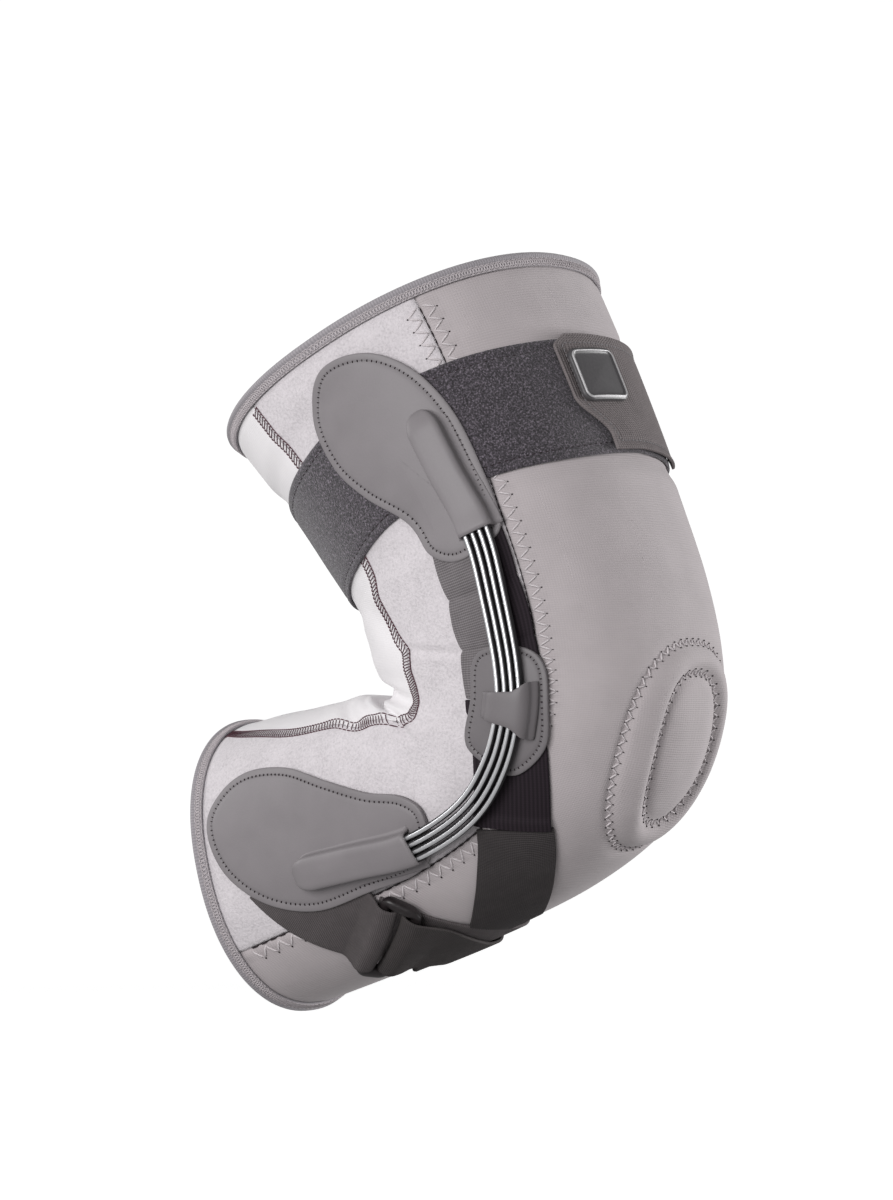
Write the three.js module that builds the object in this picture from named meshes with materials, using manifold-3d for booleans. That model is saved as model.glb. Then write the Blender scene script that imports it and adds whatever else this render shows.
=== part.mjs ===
// Hinged knee brace, in the form it has on a bent knee: a padded sleeve sewn from panels, a pad with a
// spring pocket above and below the knee on each side, four leaf springs between them, and straps at the
// thigh and the calf. Millimetres, +Z up. The origin is the middle of the knee, +X points to the kneecap
// and +Y to the left side.
import * as THREE from "three";
import { mergeVertices } from "three/addons/utils/BufferGeometryUtils.js";
import Module from "manifold-3d";

const wasm = await Module();
wasm.setup();

// Driving dimensions. Heights are measured outwards from the sleeve's outer face.
const SLEEVE_WALL = 3;
const LAY_GAP = 0.5;
const SEAM_GAP_DEGREES = 0.2;
const BACK_FULLNESS = 2.2;

const TAPE_THICK = 1.2;
const TAPE_LOW = LAY_GAP;
const TAPE_HIGH = TAPE_LOW + TAPE_THICK;
const TAPE_MIDDLE = (TAPE_LOW + TAPE_HIGH) / 2;
const SECOND_LOW = TAPE_HIGH + LAY_GAP;
const SECOND_HIGH = SECOND_LOW + TAPE_THICK;
const SECOND_MIDDLE = (SECOND_LOW + SECOND_HIGH) / 2;
const UPRIGHT_WIDTH = 29;
const CALF_STRAP_WIDTH = 36;

const PAD_LOW = LAY_GAP;
const PAD_HIGH = 3.7;
const PAD_EDGE_HIGH = 2.9;
const PLATE_TOP_SHARE = 0.93;

// Room that a pad leaves round a tape beneath it: past its ends, at its sides, into the sleeve and along
// the sleeve's length.
const ROOM_END = 2;
const ROOM_SIDE = 1;
const ROOM_LOW = -2;
const ROOM_ALONG = 0.003;

const LEAF_COUNT = 4;
const LEAF_WIDTH = 2.1;
const LEAF_DEPTH = 4.2;
const LEAF_PITCH = 2.6;
const LEAF_LOW = 4.4;
const LEAF_HIGH = LEAF_LOW + LEAF_DEPTH;
const LEAF_ROUND = 0.7;
const LEAF_END_INSET = 7;
const BUNDLE_HALF = ((LEAF_COUNT - 1) * LEAF_PITCH + LEAF_WIDTH) / 2;

const POCKET_HALF = 6.3;
const POCKET_RISE = 7.5;
const POCKET_FOOT = PAD_HIGH - 0.6;
const POCKET_ROOT = POCKET_FOOT - 0.5;
const POCKET_DOME = 9;
const POCKET_FULLNESS = 6;
const POCKET_END_SHARE = 0.3;
const SLOT_END_ROOM = 1;
const SLOT_RUN_OUT = 4;
const UPPER_POCKET_LENGTH = 52;
const LOWER_POCKET_LENGTH = 57;

const BAND_AT = 118;
const BAND_WIDTH = 12;
const BAND_HALF = 6.4;
const BAND_FOOT = PAD_HIGH + LAY_GAP;
const BAND_RISE = 5.6;
const BAND_THICK = 1.4;
const BAND_FULLNESS = 3;

const BINDING_WIDTH = 6.4;
const BINDING_THICK = 1;
const PANEL_INSET = 2.2;

const RING_DEGREES = 36.5;
const RING_BAR = 3.4;
const RING_HALF_WIDTH = 5.6;
const RING_HALF_LENGTH = (CALF_STRAP_WIDTH + 2.5 + RING_BAR) / 2;
const RING_CORNER = 3;
const LOOP_GAP = 0.9;
const LOOP_RADIUS = RING_BAR / 2 + LOOP_GAP + TAPE_THICK / 2;
const RING_HEIGHT = TAPE_MIDDLE + LOOP_RADIUS;
const STRAP_END_DEGREES = 82;
const FREE_END_DEGREES = -25;
const FREE_END_SKEW = 14;
const SKEW_FROM = 0.7;
const SKEW_TO = 0.9;

// Distances from the ring's bars where the anchor leaves the sleeve, climbs and ends, and where the strap
// lies flat before its bar, bends down behind it, and settles on its own first layer.
const ANCHOR_FLAT = 12;
const ANCHOR_CLIMB = 6.5;
const ANCHOR_SHOULDER = 3.5;
const ANCHOR_TAIL = 3;
const STRAP_FLAT = 6;
const STRAP_SHOULDER = 4;
const STRAP_LANDING = 11;
const STRAP_SETTLED = 18;
const STRAP_LOOSE = 0.2;
const SHOULDER_RISE_SHARE = 0.6;
const OUTER_RUN_SHARE = 0.7;

const BADGE_WIDTH = 25;
const BADGE_HEIGHT = 22;
const BADGE_CORNER = 4;
const BADGE_LOW = SECOND_HIGH + LAY_GAP;
const BADGE_HIGH = BADGE_LOW + 2;
const BADGE_EDGE_HIGH = BADGE_HIGH - 0.8;
const BADGE_SPOT = { along: 0.132, degrees: 10.5 };

// The tab runs from its near edge, which steps in at the lower corner, to its far edge.
const TAB_NEAR_DEGREES = 23.3;
const TAB_CORNER_DEGREES = 13.3;
const TAB_FAR_DEGREES = -34;
const TAB_STEP_FROM = 0.52;
const TAB_STEP_TO = 0.88;
const TAB_INSET = 0.002;

// The worn form, a fan of sections from the thigh rim to the calf rim. Each row has the section's points at
// the back and the front as X and Z, its half width, and how full its front half is (2 is an ellipse).
const SECTIONS = [
  { back: [-140, 101], front: [0, 172], halfWidth: 72, frontFullness: 2.2 },
  { back: [-125, 85], front: [15, 141], halfWidth: 70, frontFullness: 2.2 },
  { back: [-109, 68], front: [29, 109], halfWidth: 68, frontFullness: 2.2 },
  { back: [-95, 50], front: [41, 78], halfWidth: 65, frontFullness: 2.3 },
  { back: [-83, 34], front: [52, 47], halfWidth: 62, frontFullness: 2.4 },
  { back: [-73.5, 16.5], front: [58, 19], halfWidth: 60, frontFullness: 2.5 },
  { back: [-66.5, 4], front: [58, -4], halfWidth: 59, frontFullness: 2.5 },
  { back: [-78, 0.5], front: [50, -31], halfWidth: 58, frontFullness: 2.4 },
  { back: [-94, 0], front: [34, -53], halfWidth: 57, frontFullness: 2.3 },
  { back: [-112, -3], front: [6, -73], halfWidth: 56, frontFullness: 2.2 },
  { back: [-125, -5], front: [-33, -91], halfWidth: 55, frontFullness: 2.2 },
  { back: [-138, -8], front: [-77, -108], halfWidth: 55, frontFullness: 2.2 },
  { back: [-150, -10], front: [-121, -124], halfWidth: 54, frontFullness: 2.2 },
];

// Angles of the seams beside the front and back panels, at even steps from the thigh rim to the calf rim.
const SEAMS = [
  { front: 61, back: 119 },
  { front: 61.5, back: 117.5 },
  { front: 62, back: 116 },
  { front: 62.5, back: 114 },
  { front: 63, back: 116 },
  { front: 63, back: 114 },
  { front: 63, back: 115 },
  { front: 62, back: 113 },
  { front: 61, back: 126 },
  { front: 58, back: 135 },
  { front: 54, back: 141 },
  { front: 52, back: 150 },
  { front: 50, back: 158 },
];

// Top and bottom edges of the thigh strap along the sleeve, at even steps of angle from the front to the
// back.
const THIGH_STRAP_EDGES = [
  { top: 0.092, bottom: 0.207 },
  { top: 0.092, bottom: 0.212 },
  { top: 0.092, bottom: 0.217 },
  { top: 0.1, bottom: 0.232 },
  { top: 0.13, bottom: 0.281 },
  { top: 0.156, bottom: 0.323 },
  { top: 0.166, bottom: 0.338 },
];

// How far the thigh strap presses the sleeve in, and how far past its edges that reaches and then eases off
// along the sleeve.
const STRAP_PRESS = 1.5;
const PRESS_REACH = 0.025;
const PRESS_EASE = 0.035;

// Broad folds of the sleeve on both sides: place along the sleeve, angle, spread each way, and rise.
const FOLDS = [
  { along: 0.6, degrees: 150, alongSpread: 0.045, degreesSpread: 34, rise: 3 },
  { along: 0.525, degrees: 152, alongSpread: 0.026, degreesSpread: 32, rise: -3 },
  { along: 0.44, degrees: 150, alongSpread: 0.04, degreesSpread: 30, rise: 2 },
];

// The quilted ring round the kneecap lies between two ovals.
const KNEECAP_RING = {
  along: 0.545,
  inner: { alongHalf: 0.097, degreesHalf: 16 },
  outer: { alongHalf: 0.137, degreesHalf: 33 },
  rise: 2.5,
};

// Outlines and routes in the side view, as X and Z.
const UPPER_PAD = {
  middle: [-30, 90],
  outline: [
    [-45, 130], [-27, 124], [-11, 108], [1, 86], [9, 65], [4, 57], [-7, 51],
    [-18, 54], [-28, 66], [-46, 76], [-60, 88], [-68, 106], [-63, 124],
  ],
};
const LOWER_PAD = {
  middle: [-82, -54],
  outline: [
    [-129, -50], [-124, -37], [-112, -29], [-92, -27], [-72, -31], [-52, -35], [-36, -36],
    [-27, -42], [-27, -57], [-36, -65], [-56, -72], [-80, -80], [-102, -78], [-120, -67],
  ],
};
const KEEPER_PAD = {
  middle: [11, -3],
  outline: [
    [4, 19], [19, 19], [26, 12], [27, -2], [25, -16], [17, -25],
    [9, -27], [-3, -20], [-6, -13], [-3, 0], [-2, 13],
  ],
};
const SPRING_ROUTE = [
  [-23, 107], [-11, 84.5], [2, 61], [9, 37], [14, 12], [14, -4],
  [7, -23], [-7, -39.5], [-31, -53], [-58, -60], [-86, -67],
];
const UPRIGHT_ROUTE = [[-6, 67], [-1, 54], [4, 40], [8.5, 26], [11, 13], [12, 1]];
const ELASTIC_ROUTE = [[12, 0], [12, -10], [11.5, -21], [10, -33], [7, -46]];

// Routes over the front of the shin, as place along the sleeve and angle in degrees.
const LOWER_WEBBING_ROUTES = {
  right: [[0.685, 51.5], [0.712, 43.5], [0.743, 34], [0.776, 22], [0.808, 8], [0.835, -4]],
  left: [[0.686, 51.5], [0.7, 47.3], [0.72, 44.5], [0.75, 42.5], [0.78, 41.5], [0.81, 40.5], [0.835, 40]],
};
const CALF_ROUTE = [
  [0.905, 95], [0.89, 67], [0.87, 43], [0.854, 20], [0.847, 0],
  [0.854, -20], [0.87, -43], [0.89, -67], [0.905, -95],
];

// Facets along and round each kind of piece.
const PANEL_ROWS = 44;
const FRONT_COLUMNS = 14;
const SIDE_COLUMNS = 8;
const BACK_COLUMNS = 10;
const RING_FACETS = 36;
const PAD_FACETS = 24;
const PAD_RINGS = 3;
const SMALL_PAD_RINGS = 2;
const TAPE_ROWS = 3;
const LONG_TAPE_COLUMNS = 10;
const SHORT_TAPE_COLUMNS = 8;
const TAB_COLUMNS = 9;
const TAB_ROWS = 6;
const LEAF_COLUMNS = 20;
const LEAF_ROWS = 2;
const POCKET_COLUMNS = 9;
const POCKET_ROWS = 8;
const BAND_COLUMNS = 12;
const BAND_ROWS = 2;
const ANCHOR_COLUMNS = 20;
const STRAP_COLUMNS = 52;
const STRAP_ROOM_COLUMNS = 20;
const STRAP_ROOM_ROWS = 4;
const BAR_FACETS = 6;

const { clamp, degToRad, lerp, smoothstep } = THREE.MathUtils;

// The worn form

const smoothCurve = (points) => new THREE.CatmullRomCurve3(points, false, "catmullrom");
const sideVector = ([x, z]) => new THREE.Vector3(x, 0, z);
const backLine = smoothCurve(SECTIONS.map(({ back }) => sideVector(back)));
const frontLine = smoothCurve(SECTIONS.map(({ front }) => sideVector(front)));
const girthLine = smoothCurve(
  SECTIONS.map(({ halfWidth, frontFullness }) => new THREE.Vector3(halfWidth, frontFullness, 0)),
);

// A spot on the form is its place along the sleeve, 0 at the thigh rim and 1 at the calf rim, and its angle
// in radians: 0 at the front, a quarter turn on the right side, a half turn at the back.
function formPoint({ along, angle }) {
  const place = clamp(along, 0, 1);
  const girth = girthLine.getPoint(place);
  const cosine = Math.cos(angle);
  const sine = Math.sin(angle);
  const power = 2 / (cosine > 0 ? girth.y : BACK_FULLNESS);
  const forward = Math.sign(cosine) * Math.abs(cosine) ** power;
  const sideways = Math.sign(sine) * Math.abs(sine) ** power;
  const point = backLine.getPoint(place).lerp(frontLine.getPoint(place), (1 + forward) / 2);
  return point.setY(-girth.x * sideways);
}

// Change of position for a unit step along the sleeve and for a radian round it.
function formSlopes({ along, angle }) {
  const step = 0.003;
  const before = Math.max(along - step, 0);
  const after = Math.min(along + step, 1);
  const alongSlope = formPoint({ along: after, angle })
    .sub(formPoint({ along: before, angle }))
    .divideScalar(after - before);
  const roundSlope = formPoint({ along, angle: angle + step })
    .sub(formPoint({ along, angle: angle - step }))
    .divideScalar(2 * step);
  return { alongSlope, roundSlope };
}

function formNormal(spot) {
  const { alongSlope, roundSlope } = formSlopes(spot);
  return roundSlope.cross(alongSlope).normalize();
}

const oval = ({ alongHalf, degreesHalf }, along, degrees) =>
  Math.hypot((along - KNEECAP_RING.along) / alongHalf, degrees / degreesHalf);

// A value from a column of rows that stand at even steps of a share from 0 to 1.
function columnAt(rows, column, share) {
  const curve = smoothCurve(rows.map((row) => new THREE.Vector3(row[column], 0, 0)));
  return curve.getPoint(clamp(share, 0, 1)).x;
}

const strapEdge = (column, angle) => columnAt(THIGH_STRAP_EDGES, column, Math.abs(angle) / Math.PI);

function strapPress(along, turn) {
  const top = strapEdge("top", turn) - PRESS_REACH;
  const bottom = strapEdge("bottom", turn) + PRESS_REACH;
  const before = smoothstep(along, top - PRESS_EASE, top);
  const after = smoothstep(along, bottom, bottom + PRESS_EASE);
  return STRAP_PRESS * (before - after);
}

// How far folds and quilting raise the sleeve at a spot, and the strap presses it in.
function relief({ along, angle }) {
  const turn = Math.abs(THREE.MathUtils.euclideanModulo(angle + Math.PI, 2 * Math.PI) - Math.PI);
  const degrees = THREE.MathUtils.radToDeg(turn);
  let height = -strapPress(along, turn);
  for (const fold of FOLDS) {
    const offAlong = (along - fold.along) / fold.alongSpread;
    const offRound = (degrees - fold.degrees) / fold.degreesSpread;
    height += fold.rise * Math.exp(-(offAlong ** 2) - offRound ** 2);
  }
  const fromInner = oval(KNEECAP_RING.inner, along, degrees) - 1;
  const toOuter = 1 - oval(KNEECAP_RING.outer, along, degrees);
  if (fromInner > 0 && toOuter > 0) {
    height += KNEECAP_RING.rise * Math.sin((Math.PI * fromInner) / (fromInner + toOuter));
  }
  return height;
}

const lift = (spot, height) => formPoint(spot).addScaledVector(formNormal(spot), height + relief(spot));

// The spot a given distance from another one, in a direction that lies in the surface.
function shiftSpot(spot, direction, distance) {
  const { alongSlope, roundSlope } = formSlopes(spot);
  const a = alongSlope.dot(alongSlope);
  const b = alongSlope.dot(roundSlope);
  const c = roundSlope.dot(roundSlope);
  const p = direction.dot(alongSlope) * distance;
  const q = direction.dot(roundSlope) * distance;
  const scale = a * c - b * b;
  return {
    along: spot.along + (c * p - b * q) / scale,
    angle: spot.angle + (a * q - b * p) / scale,
  };
}

// The spot on the right side that the side view shows at X and Z: the section through it is found by
// halving.
function sideSpot({ x, z }) {
  const gapTo = (along) => {
    const back = backLine.getPoint(along);
    const reach = frontLine.getPoint(along).sub(back);
    return { back, reach, side: reach.x * (z - back.z) - reach.z * (x - back.x) };
  };
  const halvings = 40;
  let low = 0;
  let high = 1;
  for (let i = 0; i < halvings; i += 1) {
    const middle = (low + high) / 2;
    if (gapTo(middle).side < 0) low = middle;
    else high = middle;
  }
  const along = (low + high) / 2;
  const { back, reach } = gapTo(along);
  const share = ((x - back.x) * reach.x + (z - back.z) * reach.z) / reach.lengthSq();
  const forward = clamp(2 * share - 1, -1, 1);
  const fullness = forward > 0 ? girthLine.getPoint(along).y : BACK_FULLNESS;
  return { along, angle: Math.acos(Math.sign(forward) * Math.abs(forward) ** (fullness / 2)) };
}

// The spot a distance in from the thigh rim (end 0) or the calf rim (end 1).
function rimSpot(end, angle, distance) {
  const { alongSlope } = formSlopes({ along: end, angle });
  const share = distance / alongSlope.length();
  return { along: end === 0 ? share : 1 - share, angle };
}

// Routes over the form

// Measures a run of spots in millimetres, so that at(distance) gives the spot there, also just past its
// ends.
function measured(spotAt) {
  const steps = 160;
  const distances = [0];
  for (let i = 1; i <= steps; i += 1) {
    const stretch = formPoint(spotAt(i / steps)).distanceTo(formPoint(spotAt((i - 1) / steps)));
    distances.push(distances[i - 1] + stretch);
  }
  const at = (distance) => {
    let i = 1;
    while (i < steps && distances[i] < distance) i += 1;
    const before = spotAt((i - 1) / steps);
    const after = spotAt(i / steps);
    const share = (distance - distances[i - 1]) / (distances[i] - distances[i - 1]);
    return {
      along: lerp(before.along, after.along, share),
      angle: lerp(before.angle, after.angle, share),
    };
  };
  return { length: distances[steps], at };
}

function sideRoute(points) {
  const curve = new THREE.CatmullRomCurve3(points.map(sideVector));
  return measured((share) => sideSpot(curve.getPoint(share)));
}

function formRoute(rows) {
  const points = rows.map(([along, degrees]) => new THREE.Vector3(along, degToRad(degrees), 0));
  const curve = smoothCurve(points);
  return measured((share) => {
    const { x, y } = curve.getPoint(share);
    return { along: x, angle: y };
  });
}

// The distance along a route where it reaches an angle, on a route whose angle falls.
function distanceAtDegrees(route, degrees) {
  const step = 0.25;
  let distance = 0;
  while (distance < route.length && route.at(distance).angle > degToRad(degrees)) distance += step;
  return distance;
}

function acrossSpot(route, distance, across) {
  const here = route.at(distance);
  const step = 1;
  const heading = formPoint(route.at(distance + step)).sub(formPoint(route.at(distance - step)));
  return shiftSpot(here, heading.cross(formNormal(here)).normalize(), across);
}

// Geometry helpers

// Drops the slivers that a lathe leaves on its axis, and turns faces that point inwards.
function facingOut(geometry) {
  const corners = geometry.attributes.position;
  const [a, b, c] = [0, 1, 2].map(() => new THREE.Vector3());
  const kept = [];
  let volume = 0;
  for (let i = 0; i < geometry.index.count; i += 3) {
    const [p, q, r] = [0, 1, 2].map((k) => geometry.index.getX(i + k));
    if (p === q || q === r || r === p) continue;
    kept.push([p, q, r]);
    a.fromBufferAttribute(corners, p);
    b.fromBufferAttribute(corners, q);
    c.fromBufferAttribute(corners, r);
    volume += a.dot(b.cross(c));
  }
  geometry.setIndex(kept.flatMap(([p, q, r]) => (volume < 0 ? [p, r, q] : [p, q, r])));
  return geometry;
}

// Moves every corner of a plain geometry to where at() puts it.
function bend(geometry, at) {
  geometry.deleteAttribute("normal");
  geometry.deleteAttribute("uv");
  const bent = mergeVertices(geometry);
  const corners = bent.attributes.position;
  const corner = new THREE.Vector3();
  for (let i = 0; i < corners.count; i += 1) {
    const { x, y, z } = at(corner.fromBufferAttribute(corners, i));
    corners.setXYZ(i, x, y, z);
  }
  return facingOut(bent);
}

// A slab of columns by rows: at(s, t, k) takes shares of its length, its width and its thickness.
const bentSlab = (columns, rows, at) =>
  bend(new THREE.BoxGeometry(1, 1, 1, columns, rows, 1), ({ x, y, z }) =>
    at(x + 0.5, y + 0.5, z + 0.5),
  );

// A closed ring of a section given as [height, across] points: at(angle, height, across) places it.
function bentRing(section, facets, at) {
  const radius = 100;
  const closed = [...section, section[0]];
  const profile = closed.map(([height, across]) => new THREE.Vector2(radius + height, across));
  return bend(new THREE.LatheGeometry(profile, facets), ({ x, y, z }) =>
    at(Math.atan2(x, z), Math.hypot(x, z) - radius, y),
  );
}

// A plate cut to a closed curve round a middle point, its top edge dropped to edgeHigh and place() laying it
// down.
function plate({ curve, middle, place, low, high, edgeHigh, rings, facets }) {
  const bottom = Array.from({ length: rings + 1 }, (_, i) => new THREE.Vector2(i / rings, low));
  const top = Array.from(
    { length: rings },
    (_, i) => new THREE.Vector2((PLATE_TOP_SHARE * (rings - i)) / rings, high),
  );
  const profile = [...bottom, new THREE.Vector2(1, edgeHigh), ...top, new THREE.Vector2(0, high)];
  return bend(new THREE.LatheGeometry(profile, facets), ({ x, y, z }) => {
    const turn = THREE.MathUtils.euclideanModulo(Math.atan2(x, z) / (2 * Math.PI), 1);
    const edge = curve.getPointAt(turn);
    return lift(place(middle.clone().lerp(edge, Math.min(Math.hypot(x, z), 1))), y);
  });
}

const solidOf = (geometry) =>
  new wasm.Manifold(
    new wasm.Mesh({
      numProp: 3,
      vertProperties: geometry.attributes.position.array,
      triVerts: new Uint32Array(geometry.index.array),
    }),
  );

function geometryOf(solid) {
  const { vertProperties, triVerts } = solid.getMesh();
  const geometry = new THREE.BufferGeometry();
  geometry.setAttribute("position", new THREE.BufferAttribute(vertProperties, 3));
  geometry.setIndex(new THREE.BufferAttribute(triVerts, 1));
  return geometry;
}

// A flat band laid along a route from one distance to another.
function ribbon(route, { from, to, width, low, high, columns, rows }) {
  return bentSlab(columns, rows, (s, t, k) =>
    lift(acrossSpot(route, lerp(from, to, s), (t - 0.5) * width), lerp(low, high, k)),
  );
}

// A band that follows a profile of [distance, height] points along a route, so that it can fold over a bar.
function foldedRibbon(route, { profile, width, columns, rows, skewAt = () => 0 }) {
  const curve = new THREE.CatmullRomCurve3(profile.map(([x, y]) => new THREE.Vector3(x, y, 0)));
  return bentSlab(columns, rows, (s, t, k) => {
    const point = curve.getPointAt(s);
    const heading = curve.getTangentAt(s);
    const out = (k - 0.5) * TAPE_THICK;
    const distance = point.x - heading.y * out;
    const across = (t - 0.5) * width + skewAt(s);
    return lift(acrossSpot(route, distance, across), point.y + heading.x * out);
  });
}

// Sleeve

const seamAngle = (column, along) => degToRad(columnAt(SEAMS, column, along));
const halfSeam = degToRad(SEAM_GAP_DEGREES);

// A sleeve panel between two edges, each given as an angle for a place along the sleeve.
function panel(columns, firstEdge, secondEdge) {
  return bentSlab(columns, PANEL_ROWS, (s, t, k) => {
    const angle = lerp(firstEdge(t), secondEdge(t), s);
    const along = lerp(rimSpot(0, angle, PANEL_INSET).along, rimSpot(1, angle, PANEL_INSET).along, t);
    return lift({ along, angle }, (k - 1) * SLEEVE_WALL);
  });
}

const frontPanel = () =>
  panel(
    FRONT_COLUMNS,
    (along) => halfSeam - seamAngle("front", along),
    (along) => seamAngle("front", along) - halfSeam,
  );
const sidePanel = () =>
  panel(
    SIDE_COLUMNS,
    (along) => seamAngle("front", along) + halfSeam,
    (along) => seamAngle("back", along) - halfSeam,
  );
const backPanel = () =>
  panel(
    BACK_COLUMNS,
    (along) => seamAngle("back", along) + halfSeam,
    (along) => 2 * Math.PI - seamAngle("back", along) - halfSeam,
  );

// Tape folded over a rim, with a channel for the panels' edge.
function binding(end) {
  const inner = -SLEEVE_WALL - LAY_GAP;
  const fold = PANEL_INSET - LAY_GAP;
  const section = [
    [LAY_GAP + BINDING_THICK, BINDING_WIDTH],
    [LAY_GAP + BINDING_THICK, fold],
    [LAY_GAP, fold / 3],
    [-SLEEVE_WALL / 2, 0],
    [inner, fold / 3],
    [inner - BINDING_THICK, fold],
    [inner - BINDING_THICK, BINDING_WIDTH],
    [inner, BINDING_WIDTH],
    [inner, fold],
    [LAY_GAP, fold],
    [LAY_GAP, BINDING_WIDTH],
  ];
  return bentRing(section, RING_FACETS, (angle, height, across) =>
    lift(rimSpot(end, angle, across), height),
  );
}

// Thigh strap

// A band round the thigh between two heights, widened by a margin along the sleeve.
function thighBand(low, high, margin) {
  const shares = [0, 0.25, 0.5, 0.75, 1];
  const section = [...shares.map((t) => [low, t]), ...shares.toReversed().map((t) => [high, t])];
  return bentRing(section, RING_FACETS, (angle, height, share) => {
    const along = lerp(strapEdge("top", angle) - margin, strapEdge("bottom", angle) + margin, share);
    return lift({ along, angle }, height);
  });
}

// The tab's near edge steps in towards its lower corner.
function strapTab() {
  const nearDegrees = (share) =>
    lerp(TAB_NEAR_DEGREES, TAB_CORNER_DEGREES, smoothstep(share, TAB_STEP_FROM, TAB_STEP_TO));
  return bentSlab(TAB_COLUMNS, TAB_ROWS, (s, t, k) => {
    const angle = degToRad(lerp(nearDegrees(t), TAB_FAR_DEGREES, s));
    const along = lerp(strapEdge("top", angle), strapEdge("bottom", angle), t) - TAB_INSET;
    return lift({ along, angle }, lerp(SECOND_LOW, SECOND_HIGH, k));
  });
}

function roundedRectangle(halfLength, halfWidth, corner) {
  const path = new THREE.Path();
  path.moveTo(halfLength, corner - halfWidth);
  path.absarc(halfLength - corner, halfWidth - corner, corner, 0, Math.PI / 2);
  path.absarc(corner - halfLength, halfWidth - corner, corner, Math.PI / 2, Math.PI);
  path.absarc(corner - halfLength, corner - halfWidth, corner, Math.PI, 1.5 * Math.PI);
  path.absarc(halfLength - corner, corner - halfWidth, corner, 1.5 * Math.PI, 2 * Math.PI);
  path.closePath();
  return path;
}

function tabBadge() {
  const centre = { along: BADGE_SPOT.along, angle: degToRad(BADGE_SPOT.degrees) };
  const { alongSlope } = formSlopes(centre);
  const down = alongSlope.normalize();
  const round = down.clone().cross(formNormal(centre));
  return plate({
    curve: roundedRectangle(BADGE_WIDTH / 2, BADGE_HEIGHT / 2, BADGE_CORNER),
    middle: new THREE.Vector2(0, 0),
    place: ({ x, y }) => shiftSpot(shiftSpot(centre, down, y), round, x),
    low: BADGE_LOW,
    high: BADGE_HIGH,
    edgeHigh: BADGE_EDGE_HIGH,
    rings: SMALL_PAD_RINGS,
    facets: PAD_FACETS,
  });
}

// Hinge of one side

const springRoute = sideRoute(SPRING_ROUTE);
const uprightRoute = sideRoute(UPRIGHT_ROUTE);
const elasticRoute = sideRoute(ELASTIC_ROUTE);
const calfRoute = formRoute(CALF_ROUTE);
const ringDistance = distanceAtDegrees(calfRoute, RING_DEGREES);

const tape = { width: UPRIGHT_WIDTH, low: TAPE_LOW, high: TAPE_HIGH, rows: TAPE_ROWS };
const uprightWebbing = { ...tape, from: 0, to: uprightRoute.length - LAY_GAP, columns: LONG_TAPE_COLUMNS };
const uprightElastic = {
  ...tape,
  from: LAY_GAP,
  to: elasticRoute.length,
  columns: SHORT_TAPE_COLUMNS,
};
const calfUnder = {
  width: CALF_STRAP_WIDTH,
  low: TAPE_LOW,
  high: TAPE_HIGH,
  rows: STRAP_ROOM_ROWS,
  from: distanceAtDegrees(calfRoute, STRAP_END_DEGREES),
  to: distanceAtDegrees(calfRoute, -STRAP_END_DEGREES),
  columns: STRAP_ROOM_COLUMNS,
};

// The room that a pad leaves for a tape that passes under it.
const roomFor = (run) => ({
  ...run,
  from: run.from - ROOM_END,
  to: run.to + ROOM_END,
  width: run.width + 2 * LAY_GAP + ROOM_SIDE,
  low: ROOM_LOW,
  high: run.high + LAY_GAP,
});

function leaf(number) {
  const across = (number - (LEAF_COUNT + 1) / 2) * LEAF_PITCH;
  const [from, to] = [LEAF_END_INSET, springRoute.length - LEAF_END_INSET];
  return bentSlab(LEAF_COLUMNS, LEAF_ROWS, (s, t, k) => {
    const spot = acrossSpot(springRoute, lerp(from, to, s), across + (t - 0.5) * LEAF_WIDTH);
    const rounding = LEAF_ROUND * Math.abs(2 * t - 1);
    return lift(spot, k === 0 ? LEAF_LOW : LEAF_HIGH - rounding);
  });
}

// The raised pocket for the spring ends, solid, from its domed end to its mouth.
function pocket(closedEnd, mouth) {
  const length = Math.abs(mouth - closedEnd);
  return bentSlab(POCKET_COLUMNS, POCKET_ROWS, (s, t, k) => {
    const domed = Math.max(1 - (s * length) / POCKET_DOME, 0);
    const size = Math.max(Math.sqrt(1 - domed ** 2), POCKET_END_SHARE);
    const x = Math.sin((t - 0.5) * Math.PI);
    const crown = (1 - Math.abs(x) ** POCKET_FULLNESS) ** (1 / POCKET_FULLNESS);
    const spot = acrossSpot(springRoute, lerp(closedEnd, mouth, s), x * POCKET_HALF * size);
    return lift(spot, k === 0 ? POCKET_ROOT : POCKET_FOOT + POCKET_RISE * size * crown);
  });
}

// The slot that the spring ends lie in, running out past the pocket's mouth.
function pocketSlot(closedEnd, mouth) {
  const outwards = Math.sign(mouth - closedEnd);
  return ribbon(springRoute, {
    from: closedEnd + outwards * (LEAF_END_INSET - SLOT_END_ROOM),
    to: mouth + outwards * SLOT_RUN_OUT,
    width: 2 * (BUNDLE_HALF + LAY_GAP),
    low: LEAF_LOW - LAY_GAP,
    high: LEAF_HIGH + LAY_GAP,
    columns: SHORT_TAPE_COLUMNS,
    rows: 1,
  });
}

function sidePlate({ middle, outline }, rings) {
  return plate({
    curve: new THREE.CatmullRomCurve3(outline.map(sideVector), true),
    middle: sideVector(middle),
    place: sideSpot,
    low: PAD_LOW,
    high: PAD_HIGH,
    edgeHigh: PAD_EDGE_HIGH,
    rings,
    facets: PAD_FACETS,
  });
}

// A pad with its pocket, cut free over the tapes that pass under it.
function pocketPad(shape, closedEnd, mouth, rooms) {
  let pad = solidOf(sidePlate(shape, PAD_RINGS)).add(solidOf(pocket(closedEnd, mouth)));
  pad = pad.subtract(solidOf(pocketSlot(closedEnd, mouth)));
  for (const room of rooms) pad = pad.subtract(solidOf(room));
  return geometryOf(pad);
}

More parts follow.
